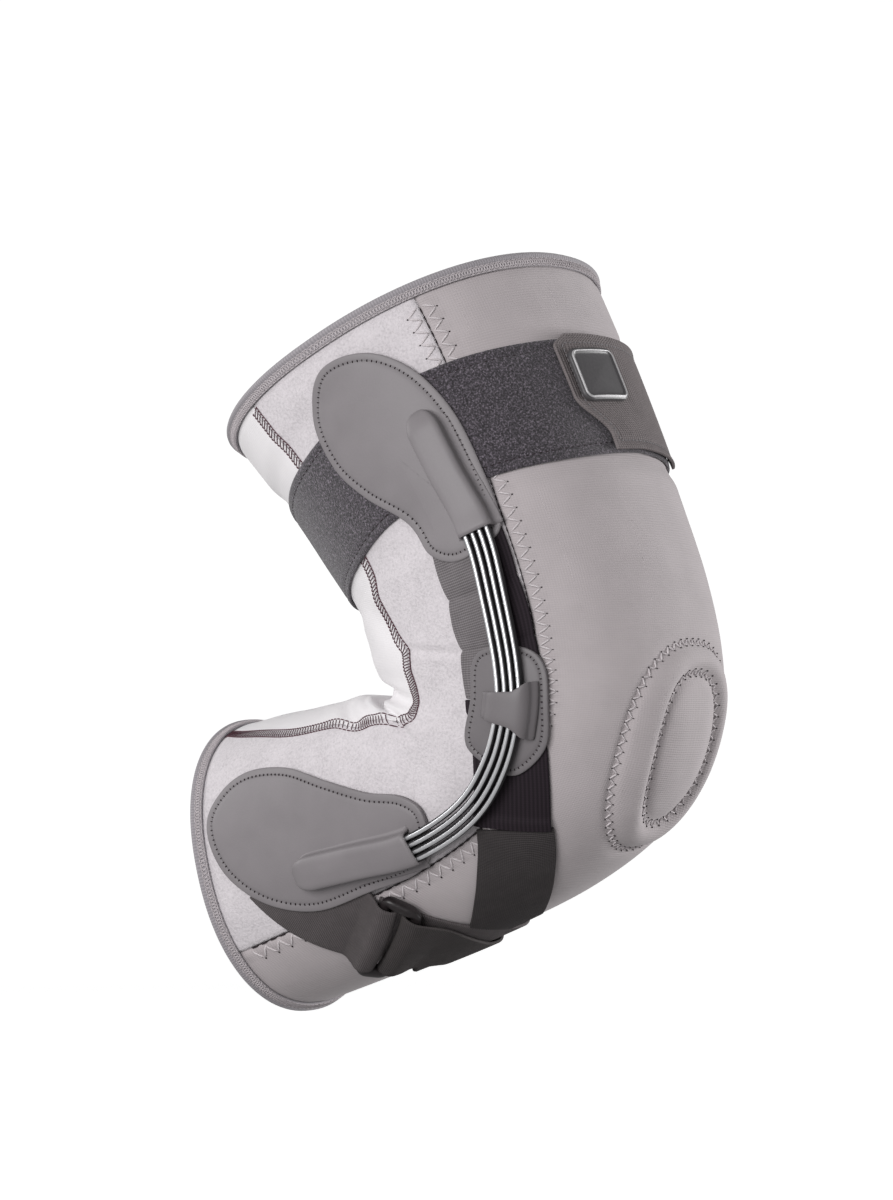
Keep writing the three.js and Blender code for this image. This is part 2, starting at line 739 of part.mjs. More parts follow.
const upperPad = () =>
  pocketPad(UPPER_PAD, 0, UPPER_POCKET_LENGTH, [
    thighBand(ROOM_LOW, TAPE_HIGH + LAY_GAP, ROOM_ALONG),
    ribbon(uprightRoute, roomFor(uprightWebbing)),
  ]);
const lowerPad = () =>
  pocketPad(LOWER_PAD, springRoute.length, springRoute.length - LOWER_POCKET_LENGTH, [
    ribbon(calfRoute, roomFor(calfUnder)),
  ]);

function keeperPad() {
  const upright = solidOf(ribbon(uprightRoute, roomFor(uprightWebbing)));
  const elastic = solidOf(ribbon(elasticRoute, roomFor(uprightElastic)));
  return geometryOf(solidOf(sidePlate(KEEPER_PAD, SMALL_PAD_RINGS)).subtract(upright).subtract(elastic));
}

function keeperBand() {
  const flatten = (value) => Math.sign(value) * Math.abs(value) ** (2 / BAND_FULLNESS);
  return bentSlab(BAND_COLUMNS, BAND_ROWS, (s, t, k) => {
    const turn = Math.PI * s;
    const across = -flatten(Math.cos(turn)) * (BAND_HALF + k * BAND_THICK);
    const spot = acrossSpot(springRoute, BAND_AT + (t - 0.5) * BAND_WIDTH, across);
    return lift(spot, BAND_FOOT + flatten(Math.sin(turn)) * (BAND_RISE + k * BAND_THICK));
  });
}

// The lower webbing ends at the calf strap's edge and at the middle of the shin.
function lowerWebbing(side) {
  const route = formRoute(LOWER_WEBBING_ROUTES[side]);
  const run = { ...tape, from: 0, to: route.length, columns: LONG_TAPE_COLUMNS };
  const span = 400;
  const farHalf = new THREE.BoxGeometry(span, span, span).translate(0, span / 2 - LAY_GAP, 0);
  const pastMiddle = solidOf(bend(farHalf, (corner) => corner));
  const strap = solidOf(ribbon(calfRoute, roomFor(calfUnder)));
  const cut = solidOf(ribbon(route, run)).subtract(strap).subtract(pastMiddle);
  const [largest] = cut.decompose().sort((one, other) => other.volume() - one.volume());
  return geometryOf(largest);
}

// Calf strap

// Webbing from under the pad, up over the ring's near bar and back beneath it.
function strapAnchor() {
  const bar = ringDistance - RING_HALF_WIDTH;
  return foldedRibbon(calfRoute, {
    profile: [
      [calfUnder.from, TAPE_MIDDLE],
      [bar - ANCHOR_FLAT, TAPE_MIDDLE],
      [bar - ANCHOR_CLIMB, TAPE_MIDDLE],
      [bar - ANCHOR_SHOULDER, RING_HEIGHT + LOOP_RADIUS / 3],
      [bar, RING_HEIGHT + LOOP_RADIUS],
      [bar + LOOP_RADIUS, RING_HEIGHT],
      [bar, TAPE_MIDDLE],
      [bar - ANCHOR_TAIL, TAPE_MIDDLE],
    ],
    width: CALF_STRAP_WIDTH,
    columns: ANCHOR_COLUMNS,
    rows: TAPE_ROWS,
  });
}

// The strap from under the left pad to the ring, round its far bar and back over itself to the free end,
// which slants towards the calf rim.
function calfStrap() {
  const bar = ringDistance + RING_HALF_WIDTH;
  const freeEnd = distanceAtDegrees(calfRoute, FREE_END_DEGREES);
  const layer = SECOND_MIDDLE + STRAP_LOOSE;
  return foldedRibbon(calfRoute, {
    profile: [
      [calfUnder.to, TAPE_MIDDLE],
      [lerp(calfUnder.to, bar, 1 / 3), TAPE_MIDDLE],
      [lerp(calfUnder.to, bar, 2 / 3), TAPE_MIDDLE],
      [bar + STRAP_FLAT, TAPE_MIDDLE],
      [bar, TAPE_MIDDLE],
      [bar - LOOP_RADIUS, RING_HEIGHT],
      [bar, RING_HEIGHT + LOOP_RADIUS],
      [bar + STRAP_SHOULDER, RING_HEIGHT + LOOP_RADIUS * SHOULDER_RISE_SHARE],
      [bar + STRAP_LANDING, layer + STRAP_LOOSE],
      [bar + STRAP_SETTLED, layer],
      [lerp(bar, freeEnd, OUTER_RUN_SHARE), layer],
      [freeEnd, layer],
    ],
    width: CALF_STRAP_WIDTH,
    columns: STRAP_COLUMNS,
    rows: TAPE_ROWS,
    skewAt: (s) => FREE_END_SKEW * smoothstep(s, SKEW_FROM, SKEW_TO),
  });
}

function ringBuckle() {
  const path = roundedRectangle(RING_HALF_LENGTH, RING_HALF_WIDTH, RING_CORNER);
  const section = Array.from({ length: BAR_FACETS }, (_, i) => {
    const turn = (2 * Math.PI * i) / BAR_FACETS;
    return [(RING_BAR / 2) * Math.cos(turn), (RING_BAR / 2) * Math.sin(turn)];
  });
  return bentRing(section, RING_FACETS, (angle, outwards, height) => {
    const turn = THREE.MathUtils.euclideanModulo(angle / (2 * Math.PI), 1);
    const heading = path.getTangentAt(turn);
    const point = path.getPointAt(turn);
    const across = point.x + heading.y * outwards;
    const distance = ringDistance + point.y - heading.x * outwards;
    return lift(acrossSpot(calfRoute, distance, across), RING_HEIGHT + height);
  });
}

// Finishes

const finish = (color, roughness, metalness = 0) => () =>
  new THREE.MeshStandardMaterial({ color, roughness, metalness });
const greyKnit = finish(0xaaa2a6, 0.9);
const loopCloth = finish(0xe1d7de, 0.95);
const whiteCloth = finish(0xeeeaec, 0.85);
const bindingTape = finish(0xa5a0a5, 0.85);
const velour = finish(0x3d363c, 0.95);
const webbing = finish(0x8b8689, 0.8);
const calfWebbing = finish(0x6d696d, 0.85);
const elastic = finish(0x241e23, 0.7);
const leatherette = finish(0x8c898c, 0.55);
const springSteel = finish(0xd4d4d6, 0.15, 1);
const badgeMetal = finish(0xb8b8bc, 0.35, 0.6);
const blackPlastic = finish(0x1c181d, 0.4);

// Assembly

function piece(name, geometry, material) {
  const mesh = new THREE.Mesh(geometry, material());
  mesh.name = name;
  mesh.geometry.computeVertexNormals();
  return mesh;
}

const hingeShapes = [
  ["upper_pad", upperPad(), leatherette],
  ["lower_pad", lowerPad(), leatherette],
  ["keeper_pad", keeperPad(), leatherette],
  ["keeper_band", keeperBand(), leatherette],
  ["upright_webbing", ribbon(uprightRoute, uprightWebbing), webbing],
  ["upright_elastic", ribbon(elasticRoute, uprightElastic), elastic],
];
for (let number = 1; number <= LEAF_COUNT; number += 1) {
  hingeShapes.push([`spring_leaf_${number}`, leaf(number), springSteel]);
}
const sideShape = sidePanel();

// One side of the brace: its side panel and its hinge. The left side is the right one mirrored, apart from
// its lower webbing, which runs straighter down the shin.
function sideGroup(side) {
  const group = new THREE.Group();
  group.add(piece(`lower_webbing_${side}`, lowerWebbing(side), webbing));
  group.add(piece(`side_panel_${side}`, sideShape, loopCloth));
  for (const [name, geometry, material] of hingeShapes) {
    group.add(piece(`${name}_${side}`, geometry, material));
  }
  return group;
}

const rightSide = sideGroup("right");
const leftSide = sideGroup("left");
leftSide.scale.set(1, -1, 1);

const brace = new THREE.Group();
brace.add(rightSide, leftSide);
brace.add(piece("front_panel", frontPanel(), greyKnit));
brace.add(piece("back_panel", backPanel(), whiteCloth));
brace.add(piece("thigh_binding", binding(0), bindingTape));
brace.add(piece("calf_binding", binding(1), bindingTape));
brace.add(piece("thigh_strap", thighBand(TAPE_LOW, TAPE_HIGH, 0), velour));
brace.add(piece("strap_tab", strapTab(), webbing));
brace.add(piece("tab_badge", tabBadge(), badgeMetal));
brace.add(piece("strap_anchor", strapAnchor(), webbing));
brace.add(piece("ring_buckle", ringBuckle(), blackPlastic));
brace.add(piece("calf_strap", calfStrap(), calfWebbing));

export default brace;
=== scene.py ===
"""Looks of a hinged knee brace in its worn, bent form, laid out as an add-on and run as a script.

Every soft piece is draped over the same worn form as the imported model: a spot on the form is its place
along the sleeve, 0 at the thigh rim and 1 at the calf rim, and its angle, 0 at the front, a quarter turn on
the right side and a half turn at the back. Heights are measured outwards from the sleeve's outer face.
Metres, +Z up.
"""

import math

import bmesh
import bpy
import numpy as np
from bpy.props import FloatProperty, FloatVectorProperty, PointerProperty
from bpy.types import Operator, Panel, PropertyGroup
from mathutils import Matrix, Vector


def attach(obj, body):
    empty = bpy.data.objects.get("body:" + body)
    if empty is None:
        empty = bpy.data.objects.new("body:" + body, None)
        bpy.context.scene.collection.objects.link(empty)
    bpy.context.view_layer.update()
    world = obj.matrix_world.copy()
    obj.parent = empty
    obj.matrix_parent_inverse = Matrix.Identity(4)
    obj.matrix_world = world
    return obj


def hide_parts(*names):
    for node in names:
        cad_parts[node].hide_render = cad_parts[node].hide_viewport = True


bl_info = {
    "name": "Hinged Knee Brace",
    "version": (1, 0, 0),
    "blender": (4, 5, 0),
    "location": "View3D > Sidebar > Knee Brace",
    "description": "Builds the looks of a hinged knee brace round its packed model",
    "category": "Object",
}

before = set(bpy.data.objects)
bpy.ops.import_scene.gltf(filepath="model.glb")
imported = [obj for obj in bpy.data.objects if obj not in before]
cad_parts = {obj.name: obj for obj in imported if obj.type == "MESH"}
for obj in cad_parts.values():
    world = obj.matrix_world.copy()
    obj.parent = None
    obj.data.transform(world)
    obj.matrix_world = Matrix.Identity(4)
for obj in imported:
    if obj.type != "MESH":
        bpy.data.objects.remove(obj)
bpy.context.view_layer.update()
SIDES = ("right", "left")

# The worn form, a fan of sections: points at the back and the front as X and Z, half width, front fullness.
SECTIONS = [
    dict(back=(-0.140, 0.101), front=(0.000, 0.172), half_width=0.072, fullness=2.2),
    dict(back=(-0.125, 0.085), front=(0.015, 0.141), half_width=0.070, fullness=2.2),
    dict(back=(-0.109, 0.068), front=(0.029, 0.109), half_width=0.068, fullness=2.2),
    dict(back=(-0.095, 0.050), front=(0.041, 0.078), half_width=0.065, fullness=2.3),
    dict(back=(-0.083, 0.034), front=(0.052, 0.047), half_width=0.062, fullness=2.4),
    dict(back=(-0.0735, 0.0165), front=(0.058, 0.019), half_width=0.060, fullness=2.5),
    dict(back=(-0.0665, 0.004), front=(0.058, -0.004), half_width=0.059, fullness=2.5),
    dict(back=(-0.078, 0.0005), front=(0.050, -0.031), half_width=0.058, fullness=2.4),
    dict(back=(-0.094, 0.000), front=(0.034, -0.053), half_width=0.057, fullness=2.3),
    dict(back=(-0.112, -0.003), front=(0.006, -0.073), half_width=0.056, fullness=2.2),
    dict(back=(-0.125, -0.005), front=(-0.033, -0.091), half_width=0.055, fullness=2.2),
    dict(back=(-0.138, -0.008), front=(-0.077, -0.108), half_width=0.055, fullness=2.2),
    dict(back=(-0.150, -0.010), front=(-0.121, -0.124), half_width=0.054, fullness=2.2),
]
BACK_FULLNESS = 2.2

# Seams beside the front and back panels on the right side, as place along the sleeve and degrees.
SEAMS = dict(
    front=[
        (0.0, 58), (0.1, 58.5), (0.18, 60.5), (0.26, 63), (0.34, 65.5), (0.43, 68), (0.52, 68.5), (0.6, 67.5),
        (0.65, 64.5), (0.69, 61), (0.75, 58.5), (0.83, 56.5), (0.92, 56), (1.0, 54.5),
    ],
    back=[
        (0.0, 119), (0.12, 116.7), (0.2, 115.3), (0.27, 114), (0.33, 116.5), (0.385, 115.5), (0.412, 112.2),
        (0.45, 115), (0.49, 115.2), (0.53, 112.5), (0.558, 109.5), (0.578, 111.5), (0.592, 118), (0.615, 121),
        (0.653, 123), (0.69, 131), (0.79, 137.5), (0.956, 154), (1.0, 158),
    ],
)

# Edges of the thigh strap along the sleeve, at even steps of angle from the front to the back.
THIGH_STRAP = dict(
    top=(0.092, 0.092, 0.092, 0.100, 0.130, 0.156, 0.166),
    bottom=(0.207, 0.212, 0.217, 0.232, 0.281, 0.323, 0.338),
)

# How far the strap presses the sleeve in, and how far past its edges that reaches and eases off.
STRAP_PRESS = 0.0015
PRESS_REACH = 0.025
PRESS_EASE = 0.035

# Broad folds of the sleeve on both sides: place along it, degrees, spread each way, and rise.
FOLDS = [
    dict(along=0.60, degrees=150, along_spread=0.045, degrees_spread=34, rise=0.0030),
    dict(along=0.525, degrees=152, along_spread=0.026, degrees_spread=32, rise=-0.0030),
    dict(along=0.44, degrees=150, along_spread=0.040, degrees_spread=30, rise=0.0020),
]

# Narrow creases of the sleeve on both sides, from one spot to another: width of the valley and its depth.
CREASES = [
    dict(start=(0.411, 110), end=(0.419, 89), width=0.0018, depth=0.0009),
    dict(start=(0.562, 119), end=(0.615, 100), width=0.0020, depth=0.0018),
    dict(start=(0.543, 156), end=(0.566, 115), width=0.0026, depth=0.0028),
    dict(start=(0.470, 165), end=(0.520, 118), width=0.0040, depth=0.0016),
    dict(start=(0.620, 150), end=(0.650, 120), width=0.0050, depth=0.0016),
    dict(start=(0.640, 100), end=(0.690, 84), width=0.0050, depth=0.0010),
    dict(start=(0.330, 128), end=(0.400, 112), width=0.0060, depth=0.0010),
]

# The quilted ring round the kneecap lies between two ovals, as half sizes along the sleeve and in degrees.
KNEECAP_ALONG = 0.545
KNEECAP_INNER = (0.097, 16)
KNEECAP_OUTER = (0.137, 33)
KNEECAP_RISE = 0.0025
KNEECAP_DOME = 0.0012
QUILT_DIP = 0.0011

# Outlines and routes in the side view, as X and Z.
UPPER_PAD = dict(
    middle=(-0.030, 0.090),
    outline=[
        (-0.045, 0.130), (-0.027, 0.124), (-0.011, 0.108), (0.001, 0.086), (0.009, 0.065), (0.004, 0.057),
        (-0.007, 0.051), (-0.018, 0.054), (-0.028, 0.066), (-0.046, 0.076), (-0.060, 0.088), (-0.068, 0.106),
        (-0.063, 0.124),
    ],
)
LOWER_PAD = dict(
    middle=(-0.082, -0.054),
    outline=[
        (-0.129, -0.050), (-0.124, -0.037), (-0.112, -0.029), (-0.092, -0.027), (-0.072, -0.031),
        (-0.052, -0.035), (-0.036, -0.036), (-0.027, -0.042), (-0.027, -0.057), (-0.036, -0.065),
        (-0.056, -0.072), (-0.080, -0.080), (-0.102, -0.078), (-0.120, -0.067),
    ],
)
KEEPER_PAD = dict(
    middle=(0.011, -0.003),
    outline=[
        (0.004, 0.019), (0.019, 0.019), (0.026, 0.012), (0.027, -0.002), (0.025, -0.016), (0.017, -0.025),
        (0.009, -0.027), (-0.003, -0.020), (-0.006, -0.013), (-0.003, 0.000), (-0.002, 0.013),
    ],
)
SPRING_ROUTE = [
    (-0.023, 0.107), (-0.011, 0.0845), (0.002, 0.061), (0.009, 0.037), (0.014, 0.012), (0.014, -0.004),
    (0.007, -0.023), (-0.007, -0.0395), (-0.031, -0.053), (-0.058, -0.060), (-0.086, -0.067),
]
UPRIGHT_ROUTE = [
    (-0.006, 0.067), (-0.001, 0.054), (0.004, 0.040), (0.0085, 0.026), (0.011, 0.013), (0.012, 0.001),
]
ELASTIC_ROUTE = [(0.012, 0.000), (0.012, -0.010), (0.0115, -0.021), (0.010, -0.033), (0.007, -0.046)]

# Routes over the lower front of the sleeve, as place along the sleeve and degrees.
LOWER_WEBBING_ROUTES = dict(
    right=[(0.685, 51.5), (0.712, 43.5), (0.743, 34), (0.776, 22), (0.808, 8), (0.835, -4)],
    left=[(0.686, 51.5), (0.70, 47.3), (0.72, 44.5), (0.75, 42.5), (0.78, 41.5), (0.81, 40.5), (0.835, 40)],
)
CALF_ROUTE = [
    (0.905, 95), (0.890, 67), (0.870, 43), (0.854, 20), (0.847, 0),
    (0.854, -20), (0.870, -43), (0.890, -67), (0.905, -95),
]

# Heights of the layers over the sleeve.
TAPE_THICK = 0.0012
TAPE_LOW = 0.0005
TAPE_HIGH = TAPE_LOW + TAPE_THICK
TAPE_MIDDLE = (TAPE_LOW + TAPE_HIGH) / 2
SECOND_HIGH = 0.0034
SECOND_MIDDLE = 0.0028
PAD_HIGH = 0.0037
LEAF_LOW = 0.0044
LEAF_MAP_ROUND = 0.012

# Ring of the calf strap, and the loops that the webbing makes round its bars.
RING_DEGREES = 36.5
RING_BAR = 0.0034
RING_HALF_WIDTH = 0.0056
RING_CORNER = 0.003
LOOP_RADIUS = 0.0032
LOOP_REACH = 0.0044
LOOP_TURN = [dict(far=0.75, up=0.66), dict(far=1.0, up=0.0), dict(far=0.75, up=-0.66)]
RING_HEIGHT = TAPE_MIDDLE + LOOP_RADIUS
STRAP_END_DEGREES = 82
FREE_END_DEGREES = -25
FREE_END_SKEW = 0.014

# Camera, floor and lights: a light's directions are in degrees from the right side and from level.
CAMERA_AZIMUTH = 33
CAMERA_ELEVATION = -2
CAMERA_DISTANCE = 1.2
CAMERA_LENS = 93.5
CAMERA_SENSOR = 36
PHOTO_PIXEL = 0.000385
KNEE_PIXEL = (563, 700)
MIDDLE_PIXEL = (446.5, 600)
FLOOR_LEVEL = -0.26
FLOOR_GLOW = 0.62
ROOM_GLOW = 0.30
LIGHTS = [
    dict(name="key_light", azimuth=5, elevation=9, distance=1.5, size=0.8, power=17.5),
    dict(name="front_light", azimuth=144, elevation=2, distance=1.6, size=0.7, power=25),
    dict(name="rear_light", azimuth=-70, elevation=20, distance=1.6, size=0.8, power=7),
]


# Sizes and colours


def length(name, description, default):
    """A size that a user may change, in metres."""
    return FloatProperty(
        name=name, description=description, default=default, min=0.0, unit="LENGTH", precision=4
    )


def colour(name, description, default):
    """A finish's colour that a user may change."""
    return FloatVectorProperty(
        name=name, description=description, default=default, size=3, min=0.0, max=1.0, subtype="COLOR"
    )


class BraceSizes(PropertyGroup):
    """Sizes of the brace's pieces."""

    sleeve_wall: length("Sleeve Wall", "Thickness of the padded sleeve", 0.003)
    binding_width: length("Binding Width", "Width of the tape on the outer face of a rim", 0.0064)
    binding_thick: length("Binding Thickness", "Thickness of the rim tape", 0.0009)
    upright_width: length("Upright Width", "Width of the webbing and elastic behind the springs", 0.029)
    calf_width: length("Calf Strap Width", "Width of the calf strap", 0.036)
    leaf_width: length("Leaf Width", "Width of one spring leaf", 0.0021)
    leaf_depth: length("Leaf Depth", "Depth of one spring leaf outwards from the sleeve", 0.0042)
    leaf_pitch: length("Leaf Pitch", "Distance between the middles of neighbouring leaves", 0.0026)
    leaf_inset: length("Leaf Inset", "How far a leaf stops short of the closed end of its pocket", 0.007)
    pocket_half: length("Pocket Half Width", "Half width of a spring pocket", 0.0062)
    pocket_rise: length("Pocket Rise", "Height of a spring pocket over its pad", 0.0068)
    upper_pocket: length("Upper Pocket", "Length of the upper spring pocket", 0.052)
    lower_pocket: length("Lower Pocket", "Length of the lower spring pocket", 0.057)
    band_at: length("Keeper Place", "Distance of the keeper band along the springs", 0.118)
    band_width: length("Keeper Width", "Width of the keeper band", 0.012)
    badge_width: length("Badge Width", "Width of the badge", 0.025)
    badge_height: length("Badge Height", "Height of the badge", 0.022)
    thread: length("Thread", "Radius of the sewing thread", 0.00022)


class BraceColours(PropertyGroup):
    """Colours of the brace's finishes."""

    knit: colour("Knit", "Front of the sleeve", (0.440, 0.398, 0.408))
    loop_cloth: colour("Loop Cloth", "Sides of the sleeve", (0.62, 0.58, 0.605))
    white_cloth: colour("White Cloth", "Back of the sleeve", (0.78, 0.755, 0.77))
    lining: colour("Lining", "Inner face of the sleeve", (0.42, 0.40, 0.41))
    tape: colour("Rim Tape", "Binding of both rims", (0.305, 0.284, 0.304))
    velour: colour("Velour", "Thigh strap", (0.066, 0.056, 0.068))
    webbing: colour("Webbing", "Upright webbing", (0.165, 0.151, 0.157))
    tab: colour("Tab", "Tab of the thigh strap", (0.160, 0.140, 0.142))
    # Painted shade: the lower webbing is the upright's webbing, its colour made far darker for the shade on
    # this downward-facing run.
    lower_webbing: colour("Lower Webbing", "Webbing towards the calf strap", (0.048, 0.042, 0.043))
    calf_webbing: colour("Calf Webbing", "Outer layer of the calf strap", (0.058, 0.051, 0.051))
    calf_under: colour("Calf Under Layer", "Strap anchor, inner layer of the strap", (0.100, 0.088, 0.090))
    # The elastic colour also paints the springs' shadow on the front strip of the upright webbing.
    elastic: colour("Elastic", "Ribbed elastic, front strip of the upright", (0.016, 0.011, 0.015))
    leatherette: colour("Leatherette", "Hinge pads and spring pockets", (0.212, 0.195, 0.204))
    # Painted shade: the keeper colour is the pads' leatherette made darker to match the shade over the keeper
    # pads and bands.
    keeper: colour("Keeper Leatherette", "Keeper pads and bands", (0.155, 0.142, 0.149))
    steel: colour("Spring Steel", "Outer edges of the spring leaves", (0.70, 0.70, 0.72))
    # Painted shade: the dark flank colour stands for the shade on the leaves' sides and in the gaps between
    # them.
    flank: colour("Spring Flank", "Flanks of the spring leaves", (0.035, 0.033, 0.036))
    badge_rim: colour("Badge Rim", "Raised line of the badge", (0.46, 0.45, 0.46))
    badge_face: colour("Badge Face", "Blank face of the badge", (0.07, 0.066, 0.07))
    plastic: colour("Black Plastic", "Ring of the calf strap", (0.018, 0.014, 0.015))
    pale_thread: colour("Pale Thread", "Thread on the rims", (0.48, 0.44, 0.455))
    # Painted highlight: the pale thread made lighter, for the highlights of hard light on the front seams and
    # the quilting.
    seam_thread: colour("Seam Thread", "Thread of the front seams and the quilting", (0.60, 0.555, 0.57))
    grey_thread: colour("Grey Thread", "Thread on the pads and the tab", (0.20, 0.19, 0.20))
    plum_thread: colour("Plum Thread", "Thread of the back seams", (0.085, 0.034, 0.046))
    # The dark thread is real thread on the joint lines and the velour; as short dots it is painted shade in
    # the needle holes.
    dark_thread: colour("Dark Thread", "Joint lines, needle holes, velour sewing", (0.024, 0.016, 0.019))
    floor: colour("Floor", "Floor and backdrop", (0.86, 0.86, 0.86))


def sizes():
    """The scene's sizes."""
    return bpy.context.scene.knee_brace_sizes


def colours():
    """The scene's colours."""
    return bpy.context.scene.knee_brace_colours


# The worn form


def spline(points, share, closed=False):
    """Points of a smooth curve through evenly numbered points, at shares of it from 0 to 1."""
    points = np.asarray(points, float)
    points = points.reshape(len(points), -1)
    if closed:
        around = np.vstack([points[-1:], points, points[:2]])
    else:
        around = np.vstack([2 * points[0] - points[1], points, 2 * points[-1] - points[-2]])
    spans = len(around) - 3
    place = np.clip(share, 0, 1) * spans
    first = np.minimum(place.astype(int), spans - 1)
    x = (place - first)[:, None]
    p0, p1, p2, p3 = (around[first + k] for k in range(4))
    cubic = 3 * (p1 - p2) + p3 - p0
    square = 2 * p0 - 5 * p1 + 4 * p2 - p3
    return p1 + 0.5 * x * (p2 - p0 + x * (square + x * cubic))


SECTION_BACKS = [section["back"] for section in SECTIONS]
SECTION_FRONTS = [section["front"] for section in SECTIONS]
SECTION_GIRTHS = [(section["half_width"], section["fullness"]) for section in SECTIONS]


def signed_power(value, power):
    """A power that keeps the sign of its base."""
    return np.sign(value) * np.abs(value) ** power


def smooth_step(value, low, high):
    """A smooth rise from 0 at low to 1 at high."""
    x = np.clip((value - low) / (high - low), 0, 1)
    return x * x * (3 - 2 * x)


def bell(value, middle, width):
    """A smooth hump, 1 at its middle, that falls off to both sides over a width."""
    return np.exp(-(((value - middle) / width) ** 2))


def form_points(along, angle):
    """Points of the worn form."""
    back = spline(SECTION_BACKS, along)
    front = spline(SECTION_FRONTS, along)
    half_width, fullness = spline(SECTION_GIRTHS, along).T
    cosine = np.cos(angle)
    power = 2 / np.where(cosine > 0, fullness, BACK_FULLNESS)
    share = (1 + signed_power(cosine, power)) / 2
    x, z = (back + (front - back) * share[:, None]).T
    return np.stack([x, -half_width * signed_power(np.sin(angle), power), z], axis=1)


def form_slopes(along, angle):
    """Change of position for a unit step along the sleeve and for a radian round it."""
    step = 0.003
    before = np.maximum(along - step, 0)
    after = np.minimum(along + step, 1)
    along_slope = (form_points(after, angle) - form_points(before, angle)) / (after - before)[:, None]
    round_slope = (form_points(along, angle + step) - form_points(along, angle - step)) / (2 * step)
    return along_slope, round_slope


def unit(vectors):
    """Vectors made a unit long."""
    return vectors / np.maximum(np.linalg.norm(vectors, axis=1, keepdims=True), 1e-12)


def form_normals(along, angle):
    """Directions straight out of the worn form."""
    along_slope, round_slope = form_slopes(along, angle)
    return unit(np.cross(round_slope, along_slope))


def half_turn_degrees(angle):
    """Angles from the front, to either side, in degrees."""
    return np.degrees(np.abs((angle + math.pi) % (2 * math.pi) - math.pi))


def oval(half_sizes, along, degrees):
    """How far out a spot lies in an oval round the kneecap: 1 on its line."""
    return np.hypot((along - KNEECAP_ALONG) / half_sizes[0], degrees / half_sizes[1])


def strap_edge(column, angle):
    """Place along the sleeve of an edge of the thigh strap."""
    return spline(THIGH_STRAP[column], half_turn_degrees(angle) / 180)[:, 0]


def strap_along(angle, share):
    """Place along the sleeve at a share of the thigh strap's width."""
    top = strap_edge("top", angle)
    return top + (strap_edge("bottom", angle) - top) * share


def strap_press(along, angle, reach, ease):
    """How far the thigh strap presses the sleeve in, reaching past its edges and then easing off."""
    top = strap_edge("top", angle) - reach
    bottom = strap_edge("bottom", angle) + reach
    return STRAP_PRESS * (smooth_step(along, top - ease, top) - smooth_step(along, bottom, bottom + ease))


def relief(along, angle):
    """How far folds and quilting raise the sleeve and all that lies on it, less the strap's press."""
    degrees = half_turn_degrees(angle)
    height = -strap_press(along, angle, PRESS_REACH, PRESS_EASE)
    for fold in FOLDS:
        off_along = (along - fold["along"]) / fold["along_spread"]
        off_round = (degrees - fold["degrees"]) / fold["degrees_spread"]
        height += fold["rise"] * np.exp(-(off_along**2) - off_round**2)
    from_inner = np.maximum(oval(KNEECAP_INNER, along, degrees) - 1, 0)
    to_outer = np.maximum(1 - oval(KNEECAP_OUTER, along, degrees), 0)
    share = from_inner / np.maximum(from_inner + to_outer, 1e-9)
    return height + KNEECAP_RISE * np.where(to_outer > 0, np.sin(math.pi * share), 0)


def lay(along, angle, height):
    """Points at a height over the sleeve's outer face."""
    return form_points(along, angle) + form_normals(along, angle) * (height + relief(along, angle))[:, None]


def side_spots(x, z):
    """Spots on the right side that the side view shows at X and Z: the sections are found by halving."""
    halvings = 40
    low = np.zeros_like(x)
    high = np.ones_like(x)
    for _ in range(halvings):
        middle = (low + high) / 2
        back = spline(SECTION_BACKS, middle)
        reach = spline(SECTION_FRONTS, middle) - back
        behind = reach[:, 0] * (z - back[:, 1]) - reach[:, 1] * (x - back[:, 0]) < 0
        low = np.where(behind, middle, low)
        high = np.where(behind, high, middle)
    along = (low + high) / 2
    back = spline(SECTION_BACKS, along)
    reach = spline(SECTION_FRONTS, along) - back
    share = ((x - back[:, 0]) * reach[:, 0] + (z - back[:, 1]) * reach[:, 1]) / (reach**2).sum(1)
    forward = np.clip(2 * share - 1, -1, 1)
    fullness = np.where(forward > 0, spline(SECTION_GIRTHS, along)[:, 1], BACK_FULLNESS)
    return along, np.arccos(signed_power(forward, fullness / 2))


def shift_spots(along, angle, direction, distance):
    """Spots a distance away, in a direction that lies in the surface."""
    along_slope, round_slope = form_slopes(along, angle)
    a = (along_slope**2).sum(1)
    b = (along_slope * round_slope).sum(1)
    c = (round_slope**2).sum(1)
    p = (direction * along_slope).sum(1) * distance
    q = (direction * round_slope).sum(1) * distance
    scale = a * c - b * b
    return along + (c * p - b * q) / scale, angle + (a * q - b * p) / scale


def rim_share(end, angle, distance):
    """Share of the sleeve's length that a distance from a rim takes, at the thigh rim 0 or the calf rim 1."""
    along_slope, _ = form_slopes(np.full_like(angle, end), angle)
    return distance / np.linalg.norm(along_slope, axis=1)


